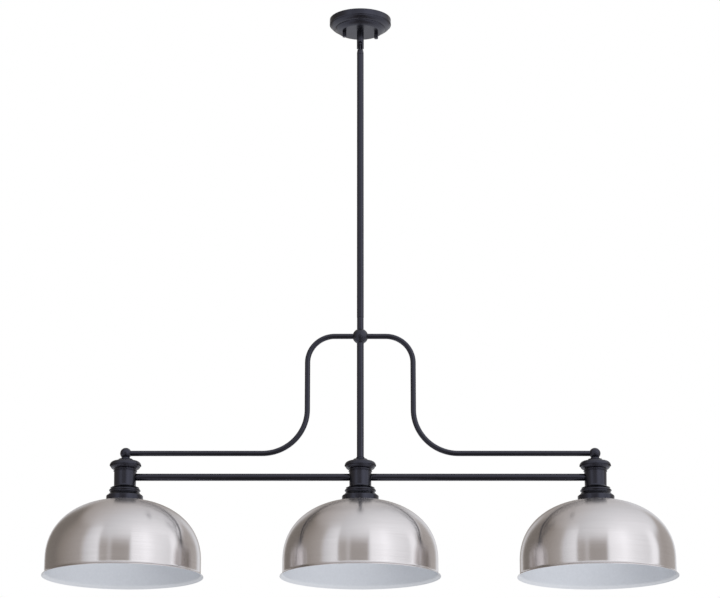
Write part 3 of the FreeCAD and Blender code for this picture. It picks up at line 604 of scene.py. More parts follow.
# The points of an outline, (radius, height) or (radius, height, rounding), with corners made round
def softened(corners, closed, stepDegrees=12.0):
    count = len(corners)
    points = []
    for k, corner in enumerate(corners):
        here = Vector(corner[:2])
        rounding = corner[2] if len(corner) > 2 else 0.0
        if not rounding or not (closed or 0 < k < count - 1):
            points.append(here)
            continue
        back = (Vector(corners[k - 1][:2]) - here).normalized()
        onward = (Vector(corners[(k + 1) % count][:2]) - here).normalized()
        half = back.angle(onward) / 2
        middle = here + (back + onward).normalized() * (rounding / math.sin(half))
        first = here + back * (rounding / math.tan(half)) - middle
        sweep = math.pi - 2 * half
        turn = -sweep if first.cross(onward) < 0 else sweep
        steps = max(2, math.ceil(math.degrees(sweep) / stepDegrees))
        for step in range(steps + 1):
            points.append(middle + Matrix.Rotation(turn * step / steps, 2) @ first)
    return [point for k, point in enumerate(points) if k == 0 or (point - points[k - 1]).length > hair]


# A solid turned about an upright axis. An open outline starts and ends on the axis.
def turnedMesh(name, corners, centreX=0.0, closed=False, segments=96):
    outline = softened(corners, closed)
    work = bmesh.new()
    surface = work.loops.layers.uv.new("surface")
    rings = []
    for radius, height in outline:
        if radius < hair:
            rings.append([work.verts.new((centreX, 0.0, height))] * segments)
            continue
        turns = [2 * math.pi * k / segments for k in range(segments)]
        rings.append([
            work.verts.new((centreX + radius * math.cos(t), radius * math.sin(t), height)) for t in turns])
    pairs = list(zip(rings, rings[1:]))
    if closed:
        pairs.append((rings[-1], rings[0]))
    down = 0.0
    for row, (first, second) in enumerate(pairs):
        step = (outline[(row + 1) % len(outline)] - outline[row]).length
        for k in range(segments):
            after = (k + 1) % segments
            spots = {
                first[k]: (k, down), first[after]: (k + 1, down),
                second[after]: (k + 1, down + step), second[k]: (k, down + step)}
            if len(spots) < 3:
                continue
            face = work.faces.new(spots)
            for loop in face.loops:
                part, distance = spots[loop.vert]
                loop[surface].uv = (part / segments, distance)
        down += step
    bmesh.ops.recalc_face_normals(work, faces=work.faces)
    if work.calc_volume(signed=True) < 0:
        bmesh.ops.reverse_faces(work, faces=work.faces)
    mesh = bpy.data.meshes.new(name)
    work.to_mesh(mesh)
    work.free()
    return mesh


# Cuts other closed meshes out of one
def carved(mesh, cutters):
    body = bpy.data.objects.new(mesh.name + "Body", mesh)
    bpy.context.scene.collection.objects.link(body)
    tools = []
    for cutter in cutters:
        tool = bpy.data.objects.new(cutter.name, cutter)
        bpy.context.scene.collection.objects.link(tool)
        cut = body.modifiers.new("cut", "BOOLEAN")
        cut.object = tool
        cut.operation = "DIFFERENCE"
        cut.solver = "MANIFOLD"
        tools.append(tool)
    bpy.context.view_layer.update()
    evaluated = body.evaluated_get(bpy.context.evaluated_depsgraph_get())
    result = bpy.data.meshes.new_from_object(evaluated)
    result.name = mesh.name
    for thing in tools + [body]:
        bpy.data.objects.remove(thing)
    return result


def cylinderMesh(radius, low, high, segments=48):
    outline = [(0.0, low), (radius, low), (radius, high), (0.0, high)]
    return turnedMesh("cutter", outline, segments=segments)


def blockMesh(low, high):
    work = bmesh.new()
    bmesh.ops.create_cube(work, size=1.0)
    low, high = Vector(low), Vector(high)
    bmesh.ops.scale(work, vec=high - low, verts=work.verts)
    bmesh.ops.translate(work, vec=(low + high) / 2, verts=work.verts)
    mesh = bpy.data.meshes.new("cutter")
    work.to_mesh(mesh)
    work.free()
    return mesh


# Puts a finished mesh in the scene as a piece. Edges that turn by more than creaseAngle degrees stay sharp.
def addPiece(name, mesh, body, replaced, material=None, creaseAngle=40.0):
    if material:
        mesh.materials.clear()
        mesh.materials.append(material)
    mesh.shade_smooth()
    mesh.set_sharp_from_angle(angle=math.radians(creaseAngle))
    piece = bpy.data.objects.new(name, mesh)
    bpy.context.scene.collection.objects.link(piece)
    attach(piece, body)
    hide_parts(*replaced)
    return piece


# Several meshes as one
def joinedMesh(name, meshes):
    work = bmesh.new()
    for mesh in meshes:
        work.from_mesh(mesh)
    whole = bpy.data.meshes.new(name)
    work.to_mesh(whole)
    work.free()
    for material in meshes[0].materials:
        whole.materials.append(material)
    return whole


# Shades

shadeForm = {
    "Rim Diameter": 330.2 * mm,
    "Dome Diameter": 319.2 * mm,
    "Dome Height": 126.9 * mm,
    "Fullness": 2.21,           # 2 is a plain ellipse, and more is boxier
    "Seat Diameter": 76.0 * mm,
    "Hole Diameter": 39.1 * mm,
    "Wall": 1.2 * mm,
    "Lip Height": 6.4 * mm,
    "Lip Edge": 1.0 * mm,
    "Lip Hollow": 1.8,          # 1 is a straight flare, and more curls out late like a trumpet
    "Rows": 56,
    "Seat Rows": 2,
    "Lip Rows": 16,
    "Lip Crowding": 1.8,        # more packs the lip's rows closer to the rim
    "Segments": 192,
}
rimRounding = 0.35 * mm


def roundRim(holder):
    bevel = holder.modifiers.new("rim", "BEVEL")
    bevel.width = rimRounding
    bevel.segments = 2
    bevel.limit_method = "ANGLE"
    bevel.angle_limit = math.radians(50.0)
    bevel.harden_normals = False


def addShades(form):
    tree = spunShadeTree(form, brushedNickel, whiteEnamel)
    for side in sides:
        node = side + "_shade"
        place = Place(node)
        mesh = grownMesh(side + "SpunShade", tree, {
            **form, "Rim Diameter": 2 * place.radius, "Centre X": place.x, "Top": place.top,
            "Rim": place.bottom, "Outside": brushedNickel, "Inside": whiteEnamel}, roundRim)
        addPiece(mesh.name, mesh, "fixture", [node])


addShades(shadeForm)
print("shades made")


# Threads, knurls and grips

pipeThread = {
    "pitch": 0.94 * mm,         # 27 turns to the inch, lamp pipe
    "depth": 0.45 * mm,
    "bore": 6.6 * mm,
    "rowsPerTurn": 5,
    "segments": 24,
}
studThread = {
    "diameter": 4.2 * mm,
    "pitch": 1.06 * mm,         # 24 turns to the inch
    "depth": 0.5 * mm,
    "rowsPerTurn": 5,
    "segments": 20,
}
studHead = {
    "diameter": 7.6 * mm,
    "height": 2.4 * mm,
    "crown": 1.1 * mm,
    "slotWidth": 1.1 * mm,
    "slotDepth": 1.2 * mm,
}
knurl = {
    "diameter": 8.4 * mm,
    "ridges": 44,
    "depth": 0.22 * mm,
    "edge": 0.8 * mm,
    "rows": 24,
    "segments": 176,            # 4 for each ridge
}
shellThread = {
    "pitch": 3.63 * mm,         # 7 turns to the inch, standard screw base
    "depth": 0.8 * mm,
    "boreDepth": 0.8 * mm,      # rolled in thin sheet, so the inside has the ridges too
    "wall": 0.6 * mm,
    "rows": 64,
    "boreRows": 64,
    "segments": 72,
}
skirtThread = {
    "pitch": 3.2 * mm,
    "depth": 0.7 * mm,
    "rows": 48,
    "segments": 96,
}
ringGrips = {
    "bore": 38.9 * mm,
    "ridges": 16,
    "depth": 1.0 * mm,
    "edge": 0.8 * mm,
    "rows": 12,
    "segments": 192,            # 12 for each grip
}
ridgedRod = ridgedRodTree(brightZinc)


# A ridged rod or ring between two heights: a thread where its form has a pitch, and else a knurl
def ridgedMesh(name, form, finish, diameter, low, high, bore=0.0, x=0.0, y=0.0):
    pitch = form.get("pitch")
    rows = form["rows"] if "rows" in form else math.ceil((high - low) / pitch * form["rowsPerTurn"])
    return grownMesh(name, ridgedRod, {
        "Diameter": diameter, "Bore": bore, "Low": low, "High": high, "Centre X": x, "Centre Y": y,
        "Ridge Depth": form["depth"], "Bore Ridge": form.get("boreDepth", 0.0),
        "Ridges": form.get("ridges", 1), "Turns Per Metre": 1.0 / pitch if pitch else 0.0,
        "Run Out": pitch if pitch else form["edge"], "Wall Rows": rows,
        "Bore Rows": form.get("boreRows", 1 if bore else 0), "Segments": form["segments"],
        "Finish": finish})


# The two places of a pair of like parts on the turned crossbar, from their common box
def pairPlaces(node, diameter):
    low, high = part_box(node)
    x = high.x - diameter / 2
    y = high.y - diameter / 2
    return ((-x, -y), (x, y))


def addPipeNipples(thread):
    for node, body in (("ceiling_nipple", "ceiling_mount"), ("joint_nipple", "fixture")):
        place = Place(node)
        mesh = ridgedMesh(node + "Threaded", thread, brightZinc, 2 * place.radius, place.bottom,
                          place.top, thread["bore"])
        addPiece(mesh.name, mesh, body, [node])
    place = Place("lamp_nipples")
    pipes = [ridgedMesh("pipe", thread, brightZinc, 2 * place.radius, place.bottom, place.top,
                        thread["bore"], shadeX[side]) for side in sides]
    addPiece("lampNipplesThreaded", joinedMesh("lampNipplesThreaded", pipes), "fixture",
             ["lamp_nipples"])


def addStuds(thread, form):
    place = Place("canopy_studs")
    neck = place.top - form["height"]
    radius = form["diameter"] / 2
    meshes = []
    for x, y in pairPlaces("canopy_studs", form["diameter"]):
        meshes.append(ridgedMesh(
            "stud", thread, brightZinc, thread["diameter"], place.bottom, neck, x=x, y=y))
        head = turnedMesh("head", [
            (0.0, neck), (radius, neck), (radius, place.top, form["crown"]), (0.0, place.top)],
            segments=48)
        slot = blockMesh(
            (-radius, -form["slotWidth"] / 2, place.top - form["slotDepth"]),
            (radius, form["slotWidth"] / 2, place.top + mm))
        head = carved(head, [slot])
        head.transform(Matrix.Translation((x, y, 0.0)))
        meshes.append(head)
    mesh = joinedMesh("canopyStudsThreaded", meshes)
    addPiece(mesh.name, mesh, "ceiling_mount", ["canopy_studs"], brightZinc)


def addCanopyNuts(form):
    place = Place("canopy_nuts")
    nuts = [ridgedMesh("nut", form, satinBlack, form["diameter"], place.bottom, place.top, x=x, y=y)
            for x, y in pairPlaces("canopy_nuts", form["diameter"])]
    addPiece("knurledNuts", joinedMesh("knurledNuts", nuts), "ceiling_mount",
             ["canopy_nuts"])


def addScrewShells(form):
    for side in sides:
        node = side + "_screw_shell"
        place = Place(node)
        mesh = ridgedMesh(side + "RolledShell", form, rolledBrass, 2 * place.radius, place.bottom,
                          place.top, 2 * (place.radius - form["wall"]), place.x)
        addPiece(mesh.name, mesh, "fixture", [node])


def addRetainingRings(form):
    for side in sides:
        node = side + "_retaining_ring"
        place = Place(node)
        mesh = ridgedMesh(side + "GripRing", form, mouldedPhenolic, 2 * place.radius, place.bottom,
                          place.top, form["bore"], place.x)
        addPiece(mesh.name, mesh, "fixture", [node])


shadeX = {side: Place(side + "_shade").x for side in sides}
addPipeNipples(pipeThread)
addStuds(studThread, studHead)
addCanopyNuts(knurl)
addScrewShells(shellThread)
addRetainingRings(ringGrips)
print("threads, knurls and grips made")


# Canopy

canopyForm = {
    "sideHeight": 12.6 * mm,
    "sideRounding": 0.8 * mm,
    "ledge": 2.2 * mm,
    "step": 1.6 * mm,
    "middleDiameter": 108.0 * mm,
    "middleHeight": 8.2 * mm,
    "faceDiameter": 83.0 * mm,
    "bulge": 1.2 * mm,
    "wall": 1.2 * mm,
    "centreHole": 10.4 * mm,
    "studHole": 4.8 * mm,
    "edge": 0.5 * mm,           # spun corners are never quite sharp
}


arcShare = 0.98                 # arcs that would just meet are drawn a little smaller


# One rounded corner that swells a straight run out to its left by this height, or hollows it
def swelling(start, end, height):
    first, last = Vector(start[:2]), Vector(end[:2])
    run = last - first
    out = Vector((-run.y, run.x)).normalized() * 2 * height
    half = run.length / 2
    corner = (first + last) / 2 + out
    return corner.x, corner.y, arcShare * math.hypot(half, 2 * height) * half / abs(2 * height)


def addCanopy(form):
    place = Place("canopy")
    side = place.top - form["sideHeight"]
    ledge = place.radius - form["ledge"]
    middle = form["middleDiameter"] / 2
    middleTop = place.bottom + form["middleHeight"]
    face = form["faceDiameter"] / 2
    hole = form["centreHole"] / 2
    edge = form["edge"]
    ledgeFoot = (ledge, side - form["step"])
    middleEdge = (middle, middleTop, edge)
    middleFoot = (middle, middleTop - form["step"])
    faceEdge = (face, place.bottom, edge)
    outside = [
        (place.radius, place.top),
        (place.radius, side, form["sideRounding"]),
        (ledge, side, edge / 2),
        ledgeFoot,
        swelling(ledgeFoot, middleEdge, form["bulge"]),
        middleEdge,
        middleFoot,
        swelling(middleFoot, faceEdge, form["bulge"]),
        faceEdge,
    ]
    wall = form["wall"]
    inside = [(corner[0] - wall, corner[1] + wall, *corner[2:]) for corner in reversed(outside[1:])]
    corners = outside + [(hole, place.bottom), (hole, place.bottom + wall)] + inside
    corners.append((place.radius - wall, place.top))
    mesh = turnedMesh("spunCanopy", corners, closed=True, segments=144)
    cutters = []
    for x, y in pairPlaces("canopy_nuts", knurl["diameter"]):
        cutter = cylinderMesh(form["studHole"] / 2, place.bottom - mm, place.bottom + 2 * wall)
        cutter.transform(Matrix.Translation((x, y, 0.0)))
        cutters.append(cutter)
    addPiece("spunCanopy", carved(mesh, cutters), "ceiling_mount", ["canopy"],
             satinBlack, creaseAngle=32.0)


addCanopy(canopyForm)
print("canopy made")


# Rods, arms and bars

rodForm = {
    "bore": 9.9 * mm,
    "edge": 0.5 * mm,           # the broken edge that shows a joint as a fine line
}
couplerForm = {
    "bore": 7.1 * mm,
    "tailDiameter": 9.8 * mm,
    "topDiameter": 12.8 * mm,
    "taper": 6.3 * mm,
    "edge": 0.6 * mm,
}
armForm = {
    "Reach": 110.5 * mm,
    "Upper Bend": 57.0 * mm,
    "Lower Bend": 93.0 * mm,
    "Bend Steps": 28,
    "Round Steps": 40,
}
barForm = {
    "bore": 9.9 * mm,
    "edge": 1.0 * mm,
}


def tubeOutline(bore, radius, low, high, edge):
    return [(bore / 2, low), (radius, low, edge), (radius, high, edge), (bore / 2, high)]


def addRods(form):
    for node in ("down_rod", "hub_stem", "centre_stem"):
        place = Place(node)
        outline = tubeOutline(form["bore"], place.radius, place.bottom, place.top, form["edge"])
        mesh = turnedMesh(node + "Turned", outline, closed=True, segments=64)
        addPiece(mesh.name, mesh, "fixture", [node], satinBlack)


def addCoupler(form):
    place = Place("swivel_coupler")
    rodTop = Place("down_rod").top
    bore = form["bore"] / 2
    tail = form["tailDiameter"] / 2
    mesh = turnedMesh("coupler", [
        (bore, place.bottom),
        (tail, place.bottom),
        (tail, rodTop),
        (place.radius, rodTop, form["edge"]),
        (place.radius, place.top - form["taper"], form["edge"]),
        (form["topDiameter"] / 2, place.top, form["edge"]),
        (bore, place.top),
    ], closed=True, segments=64)
    addPiece("turnedCoupler", mesh, "fixture", ["swivel_coupler"], satinBlack)


def addArms(form):
    tree = bentArmTree(satinBlack)
    for side, way in (("left", -1.0), ("right", 1.0)):
        node = side + "_arm"
        low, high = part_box(node)
        diameter = high.y - low.y
        ends = sorted((abs(low.x), abs(high.x)))
        mesh = grownMesh(side + "BentArm", tree, {
            **form, "Side": way, "Start": ends[0], "End": ends[1], "Hub Height": high.z - diameter / 2,
            "Run Height": low.z + diameter / 2, "Diameter": diameter, "Finish": satinBlack})
        addPiece(mesh.name, mesh, "fixture", [node], creaseAngle=60.0)


def addCrossBars(form):
    for side in ("left", "right"):
        node = side + "_cross_bar"
        low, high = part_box(node)
        radius = (high.z - low.z) / 2
        outline = tubeOutline(form["bore"], radius, low.x, high.x, form["edge"])
        mesh = turnedMesh(side + "CrossBar", outline, closed=True, segments=64)
        mesh.transform(Matrix.Rotation(math.pi / 2, 4, "Y"))
        mesh.transform(Matrix.Translation((0.0, 0.0, low.z + radius)))
        addPiece(mesh.name, mesh, "fixture", [node], satinBlack)


addRods(rodForm)
addCoupler(couplerForm)
addArms(armForm)
addCrossBars(barForm)
print("rods, arms and bars made")


# Husks: cap, column and base flange over each shade

capForm = {
    "bore": 9.9 * mm,
    "bossDiameter": 19.2 * mm,
    "bossHeight": 4.0 * mm,
    "discDiameter": 30.4 * mm,
    "discHeight": 2.8 * mm,
    "lipThickness": 18.3 * mm,
    "lipSlope": 3.6 * mm,       # drop of the top from the disc to the lip's corner
    "footDiameter": 45.6 * mm,
    "footHeight": 0.6 * mm,
    "footWidth": 2.8 * mm,
    "roof": 4.6 * mm,
    "wall": 1.8 * mm,
    "edge": 0.6 * mm,
}
columnForm = {
    "topDiameter": 44.6 * mm,
    "footDiameter": 45.4 * mm,
    "collarDiameter": 49.2 * mm,
    "collarHeight": 3.7 * mm,
    "cove": 6.4 * mm,
    "ringThickness": 8.6 * mm,
    "ringRounding": 2.7 * mm,
    "wall": 1.8 * mm,
    "fillet": 0.4 * mm,
}
flangeForm = {
    "neckDiameter": 60.4 * mm,
    "neckHeight": 0.9 * mm,
    "flareHeight": 6.7 * mm,
    "flareHollow": 0.7 * mm,
    "edge": 1.2 * mm,
    "floor": 2.4 * mm,
    "hole": 39.1 * mm,
    "wall": 1.8 * mm,
    "footEdge": 0.4 * mm,
}


def addCap(side, form):
    node = side + "_cap"
    place = Place(node)
    bore = form["bore"] / 2
    boss = form["bossDiameter"] / 2
    disc = form["discDiameter"] / 2
    foot = form["footDiameter"] / 2
    mouth = foot - form["footWidth"]
    thick = form["lipThickness"] / 2
    edge = form["edge"]
    wall = form["wall"]
    discTop = place.top - form["bossHeight"]
    discFoot = discTop - form["discHeight"]
    roof = discTop - form["roof"]
    lipFoot = place.bottom + form["footHeight"]
    lipTop = lipFoot + 2 * thick
    mesh = turnedMesh(side + "TurnedCap", [
        (bore, place.top),
        (boss, place.top, edge),
        (boss, discTop, edge / 2),
        (disc, discTop, edge),
        (disc, discFoot, edge),
        (place.radius, discFoot - form["lipSlope"], thick),
        (place.radius, lipFoot, thick),
        (foot, lipFoot),
        (foot, place.bottom),
        (mouth, place.bottom),
        (mouth, lipFoot + wall),
        (place.radius - wall, lipFoot + wall, thick - wall),
        (place.radius - wall, lipTop - wall, thick - wall),
        (disc, roof),
        (bore, roof),
    ], place.x, closed=True, segments=128)
    addPiece(mesh.name, mesh, "fixture", [node], castBlack)


def addColumn(side, form, barWays):
    node = side + "_column"
    place = Place(node)
    collar = form["collarDiameter"] / 2
    bead = form["collarHeight"] / 2
    top = form["topDiameter"] / 2
    foot = form["footDiameter"] / 2
    cove = form["cove"]
    rounding = form["ringRounding"]
    wall = form["wall"]
    ringTop = place.bottom + form["ringThickness"]
    ringBore = flangeForm["neckDiameter"] / 2 - wall
    mesh = turnedMesh(side + "TurnedColumn", [
        (top - wall, place.top),
        (collar, place.top, arcShare * bead),
        (collar, place.top - 2 * bead, arcShare * bead),
        (top, place.top - 2 * bead, form["fillet"]),
        (foot, ringTop, cove),
        (place.radius, ringTop, rounding),
        (place.radius, place.bottom, rounding),
        (ringBore, place.bottom),
        (ringBore, (place.bottom + ringTop) / 2),
        (top - wall, ringTop + cove - wall / 2),
    ], place.x, closed=True, segments=128)
    barLow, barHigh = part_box("left_cross_bar")
    cutters = []
    for way in barWays:
        cutter = cylinderMesh(barForm["bore"] / 2, 0.0, 2 * top)
        cutter.transform(Matrix.Rotation(way * math.pi / 2, 4, "Y"))
        cutter.transform(Matrix.Translation((place.x, 0.0, (barLow.z + barHigh.z) / 2)))
        cutters.append(cutter)
    addPiece(mesh.name, carved(mesh, cutters), "fixture", [node], satinBlack)


def addFlange(side, form):
    node = side + "_base_flange"
    place = Place(node)
    neck = form["neckDiameter"] / 2
    wall = form["wall"]
    edge = form["edge"]
    flareTop = (neck, place.top - form["neckHeight"])
    flareFoot = (place.radius - edge, flareTop[1] - form["flareHeight"])
    floor = place.bottom + form["floor"]
    hole = form["hole"] / 2
    mesh = turnedMesh(side + "TurnedFlange", [
        (neck - wall, place.top),
        (neck, place.top),
        flareTop,
        swelling(flareTop, flareFoot, -form["flareHollow"]),
        (*flareFoot, edge / 2),
        (place.radius, flareFoot[1] - edge, edge / 2),
        (place.radius, place.bottom, form["footEdge"]),
        (hole, place.bottom),
        (hole, floor),
        (place.radius - wall, floor),
        (place.radius - wall, flareFoot[1] - edge - wall),
        (neck - wall, flareTop[1] - wall),
    ], place.x, closed=True, segments=128)
    addPiece(mesh.name, mesh, "fixture", [node], satinBlack)


barWays = {"left": (1,), "middle": (-1, 1), "right": (-1,)}
for side in sides:
    addCap(side, capForm)
    addColumn(side, columnForm, barWays[side])
    addFlange(side, flangeForm)
print("husks made")


# Lamp holders

holderForm = {
    "hubDiameter": 18.0 * mm,
    "hubHeight": 6.0 * mm,
    "bodyDiameter": 37.2 * mm,
    "shoulderHeight": 4.0 * mm,
    "skirtDiameter": 38.8 * mm,
    "skirtLength": 20.0 * mm,
    "skirtBore": 27.8 * mm,     # just inside the cavity's wall, so that the two don't coincide
    "cavityDiameter": 27.9 * mm,
    "cavityDepth": 38.5 * mm,
    "threadBore": 9.9 * mm,
    "threadDepth": 8.0 * mm,
    "rivetBore": 3.1 * mm,
    "overlap": 1.0 * mm,        # how far the threaded skirt runs up inside the shoulder
    "rounding": 1.5 * mm,
}


def addLampHolders(form):
    for side in sides:
        node = side + "_lamp_holder"
        place = Place(node)
        hub = form["hubDiameter"] / 2
        body = form["bodyDiameter"] / 2
        cavity = form["cavityDiameter"] / 2
        rounding = form["rounding"]
        bodyTop = place.top - form["hubHeight"]
        shoulder = place.bottom + form["skirtLength"]
        shoulderTop = shoulder + form["shoulderHeight"]
        roof = place.bottom + form["cavityDepth"]
        threadFoot = place.top - form["threadDepth"]
        holder = turnedMesh("holder", [
            (form["threadBore"] / 2, place.top),
            (hub, place.top, rounding),
            (hub, bodyTop, rounding),
            (body, bodyTop, 2 * rounding),
            (body, shoulderTop, rounding / 2),
            (place.radius, shoulderTop, rounding),
            (place.radius, shoulder, rounding / 2),
            (cavity, shoulder),
            (cavity, roof, rounding),
            (form["rivetBore"] / 2, roof),
            (form["rivetBore"] / 2, threadFoot),
            (form["threadBore"] / 2, threadFoot),
        ], place.x, closed=True, segments=96)
        holder.materials.append(glazedPorcelain)
        skirt = ridgedMesh("skirt", skirtThread, glazedPorcelain, form["skirtDiameter"], place.bottom,
                           shoulder + form["overlap"], form["skirtBore"], place.x)
        mesh = joinedMesh(side + "GlazedHolder", [holder, skirt])
        addPiece(mesh.name, mesh, "fixture", [node])


addLampHolders(holderForm)
print("lamp holders made")


# Nodes that stay as they are and only get a finish

def finishNodes(material, nodes):
    for node in nodes:
        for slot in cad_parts[node].material_slots:
            slot.material = material


finishNodes(castBlack, ["hub", "left_end_ball", "right_end_ball"])
finishNodes(satinBlack, ["swivel_housing", "swivel_ball"])
finishNodes(greenZinc, ["ground_screw"])
finishNodes(rolledBrass, [side + "_centre_contact" for side in sides])
finishNodes(brightZinc, [
    "mounting_crossbar", "stud_nuts", "ceiling_nipple_nuts", "swivel_bushing", "lamp_nipple_nuts",
    "bar_nipples", "bar_nuts"])


# Light and surroundings

room = {
    "backdrop": 1.0,            # strength 1 is white
    "fill": 0.45,               # how bright the room is on matt surfaces
}

# What the metal reflects: a round tent of grey cloth with two softboxes in front, a wide one on the
# right and a narrower one on the left, and two dimmer ones behind the row. Bearings are in degrees: 0
# is the camera's side and plus is to the right.
tent = {
    "radius": 9.0,
    "centreHeight": -1.1,
    "panels": (                 # bearing, brightness and top in degrees
        (-180, 0.30, 24), (-171, 0.40, 24), (-163, 0.74, 28), (-156, 0.72, 28), (-150, 0.30, 36),
        (-145, 0.23, 44), (-112, 0.22, 44), (-96, 0.31, 44), (-80, 0.39, 42), (-62, 0.48, 40),
        (-55, 0.76, 42), (-47, 0.92, 42), (-35, 1.08, 42), (-31, 0.48, 18), (-22, 0.46, 18),
        (-19, 0.62, 18), (-16, 0.62, 18), (-13, 0.40, 18), (10, 0.42, 18), (15, 1.20, 34),
        (38, 1.40, 34), (54, 1.14, 34), (76, 0.98, 26), (84, 1.28, 26), (92, 1.28, 26),
        (97, 0.52, 22), (110, 0.45, 24), (140, 0.50, 32), (146, 0.56, 34), (153, 0.90, 30),
        (163, 0.84, 28), (180, 0.30, 24)),
    "foot": -4.0,               # height of the panels' foot in degrees
    "edge": 10.0,               # degrees over which a panel fades past its top and its foot
    "ceiling": 0.77,
    "ceilingSlant": 0.5,        # how much brighter the ceiling is towards its bright side
    "brightSide": (0.82, -0.57, 0.0),
    "floor": 0.85,              # below, on the sides and behind the row
    "floorFront": 0.12,         # straight below and towards the camera
    "floorTurn": (0.1, 0.5),    # share of the way aside or behind over which one gives way to the other
    "sideSteep": (-0.2, -0.4),  # sines of the heights between which the floor on the sides sets in
    "brightest": 1.6,
    "dim": "#fff4ea",           # dim panels are a little warm, and bright ones a little cool
    "cool": "#f8faff",
    "tinted": (0.3, 0.8),       # the strengths that have these two tints
}
lamps = {
    "front": {"place": (-0.6, -3.4, -3.4), "size": 1.6, "power": 26.0},
    "right": {"place": (3.2, -2.4, -3.2), "size": 1.6, "power": 60.0},
}
lampTarget = Vector((0.0, 0.0, -1.0))


def addWorld(setup):
    world = bpy.data.worlds.new("whiteRoom")
    bpy.context.scene.world = world
    world.use_nodes = True
    tree = world.node_tree
    tree.nodes.clear()
    rays = addNode(tree, "ShaderNodeLightPath")
    seen = addNode(tree, "ShaderNodeMath", {
        0: rays.outputs["Is Camera Ray"], 1: rays.outputs["Is Glossy Ray"]}, operation="MAXIMUM")
    shown = addNode(tree, "ShaderNodeMath", {
        0: seen, 1: rays.outputs["Is Transmission Ray"]}, operation="MAXIMUM")
    strength = addNode(tree, "ShaderNodeMapRange", {
        "Value": shown, "To Min": setup["fill"], "To Max": setup["backdrop"]})
    white = addNode(tree, "ShaderNodeBackground", {"Color": (1.0, 1.0, 1.0, 1.0), "Strength": strength})
    addNode(tree, "ShaderNodeOutputWorld", {"Surface": white})


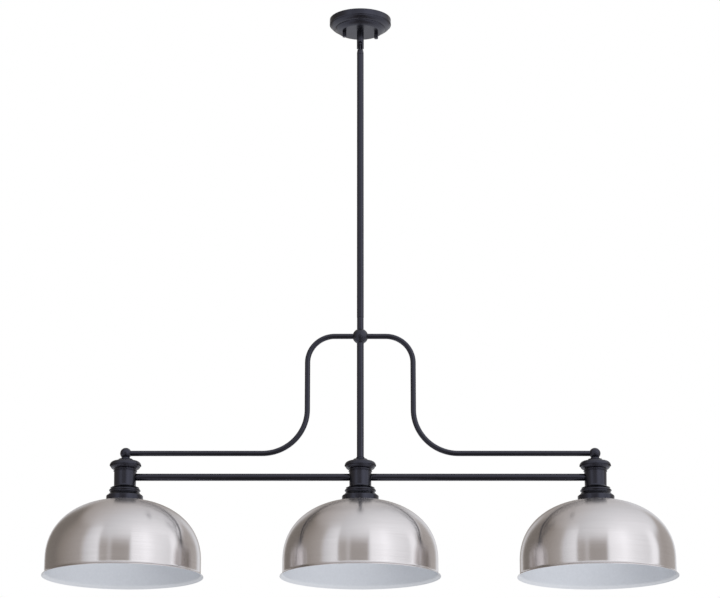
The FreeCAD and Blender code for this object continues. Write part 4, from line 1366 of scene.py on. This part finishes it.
# Cloth of the tent: it glows by its bearing and height as seen from the shades
def makeTentCloth(setup):
    material, tree = newMaterial("tentCloth")
    brightest = setup["brightest"]
    place = addNode(tree, "ShaderNodeTexCoord").outputs["Object"]
    way = addNode(tree, "ShaderNodeVectorMath", {0: place}, operation="NORMALIZE")
    spot = addNode(tree, "ShaderNodeSeparateXYZ", {"Vector": way})
    front = addNode(tree, "ShaderNodeMath", {0: spot.outputs["Y"], 1: -1.0}, operation="MULTIPLY")
    around = addNode(tree, "ShaderNodeMath", {0: spot.outputs["X"], 1: front}, operation="ARCTAN2")
    turn = addNode(tree, "ShaderNodeMapRange", {
        "Value": around, "From Min": -math.pi, "From Max": math.pi})
    straightUp = 90.0
    stops = [((bearing + 180) / 360, (glow / brightest, top / straightUp, 0.0, 1.0))
             for bearing, glow, top in setup["panels"]]
    panels = addNode(tree, "ShaderNodeSeparateColor", {
        "Color": addNode(tree, "ShaderNodeValToRGB", {"Fac": turn}, stops=stops)})
    glow = addNode(tree, "ShaderNodeMath", {0: panels.outputs["Red"], 1: brightest}, operation="MULTIPLY")
    panelTop = addNode(tree, "ShaderNodeMath", {
        0: panels.outputs["Green"], 1: straightUp}, operation="MULTIPLY")
    fadeTop = addNode(tree, "ShaderNodeMath", {0: panelTop, 1: setup["edge"]}, operation="ADD")
    height = addNode(tree, "ShaderNodeMath", {0: spot.outputs["Z"]}, operation="ARCSINE")
    degrees = addNode(tree, "ShaderNodeMath", {0: height}, operation="DEGREES")
    above = addNode(tree, "ShaderNodeMapRange", {
        "Value": degrees, "From Min": panelTop, "From Max": fadeTop}, interpolation_type="SMOOTHSTEP")
    slant = addNode(tree, "ShaderNodeVectorMath", {0: way, 1: setup["brightSide"]}, operation="DOT_PRODUCT")
    ceiling = addNode(tree, "ShaderNodeMath", {
        0: slant.outputs["Value"], 1: setup["ceilingSlant"], 2: setup["ceiling"]}, operation="MULTIPLY_ADD")
    upper = addNode(tree, "ShaderNodeMapRange", {"Value": above, "To Min": glow, "To Max": ceiling})
    under = addNode(tree, "ShaderNodeMapRange", {
        "Value": degrees, "From Min": setup["foot"], "From Max": setup["foot"] - setup["edge"]},
        interpolation_type="SMOOTHSTEP")
    aside = addNode(tree, "ShaderNodeMath", {0: spot.outputs["X"]}, operation="ABSOLUTE")
    steep = addNode(tree, "ShaderNodeMapRange", {
        "Value": spot.outputs["Z"], "From Min": setup["sideSteep"][0], "From Max": setup["sideSteep"][1]})
    beside = addNode(tree, "ShaderNodeMath", {0: aside, 1: steep}, operation="MULTIPLY")
    away = addNode(tree, "ShaderNodeMath", {0: beside, 1: spot.outputs["Y"]}, operation="MAXIMUM")
    floor = addNode(tree, "ShaderNodeMapRange", {
        "Value": away, "From Min": setup["floorTurn"][0], "From Max": setup["floorTurn"][1],
        "To Min": setup["floorFront"], "To Max": setup["floor"]})
    strength = addNode(tree, "ShaderNodeMapRange", {"Value": under, "To Min": upper, "To Max": floor})
    low, high = setup["tinted"]
    tint = addNode(tree, "ShaderNodeValToRGB", {"Fac": strength},
                   stops=((low, linear(setup["dim"])), (high, linear(setup["cool"]))))
    cloth = addNode(tree, "ShaderNodeEmission", {"Color": tint, "Strength": strength})
    addNode(tree, "ShaderNodeOutputMaterial", {"Surface": cloth})
    return material


def addTent(setup):
    work = bmesh.new()
    bmesh.ops.create_icosphere(work, subdivisions=5, radius=setup["radius"])
    mesh = bpy.data.meshes.new("tent")
    work.to_mesh(mesh)
    work.free()
    mesh.shade_smooth()
    mesh.materials.append(makeTentCloth(setup))
    cover = bpy.data.objects.new("tent", mesh)
    cover.location = (0.0, 0.0, setup["centreHeight"])
    cover.visible_camera = False
    cover.visible_diffuse = False
    cover.visible_shadow = False
    cover.visible_transmission = False
    bpy.context.scene.collection.objects.link(cover)


# Soft lamps for the matt surfaces, all aimed at a place just over the middle shade
def addLamps(setups, target):
    for name, setup in setups.items():
        data = bpy.data.lights.new(name + "Lamp", "AREA")
        data.size = setup["size"]
        data.energy = setup["power"]
        lamp = bpy.data.objects.new(name + "Lamp", data)
        lamp.location = setup["place"]
        lamp.rotation_euler = (target - lamp.location).to_track_quat("-Z", "Y").to_euler()
        lamp.visible_camera = False
        lamp.visible_glossy = False
        bpy.context.scene.collection.objects.link(lamp)


addWorld(room)
addTent(tent)
addLamps(lamps, lampTarget)
bpy.context.scene.view_settings.view_transform = "Standard"
print("light and surroundings made")
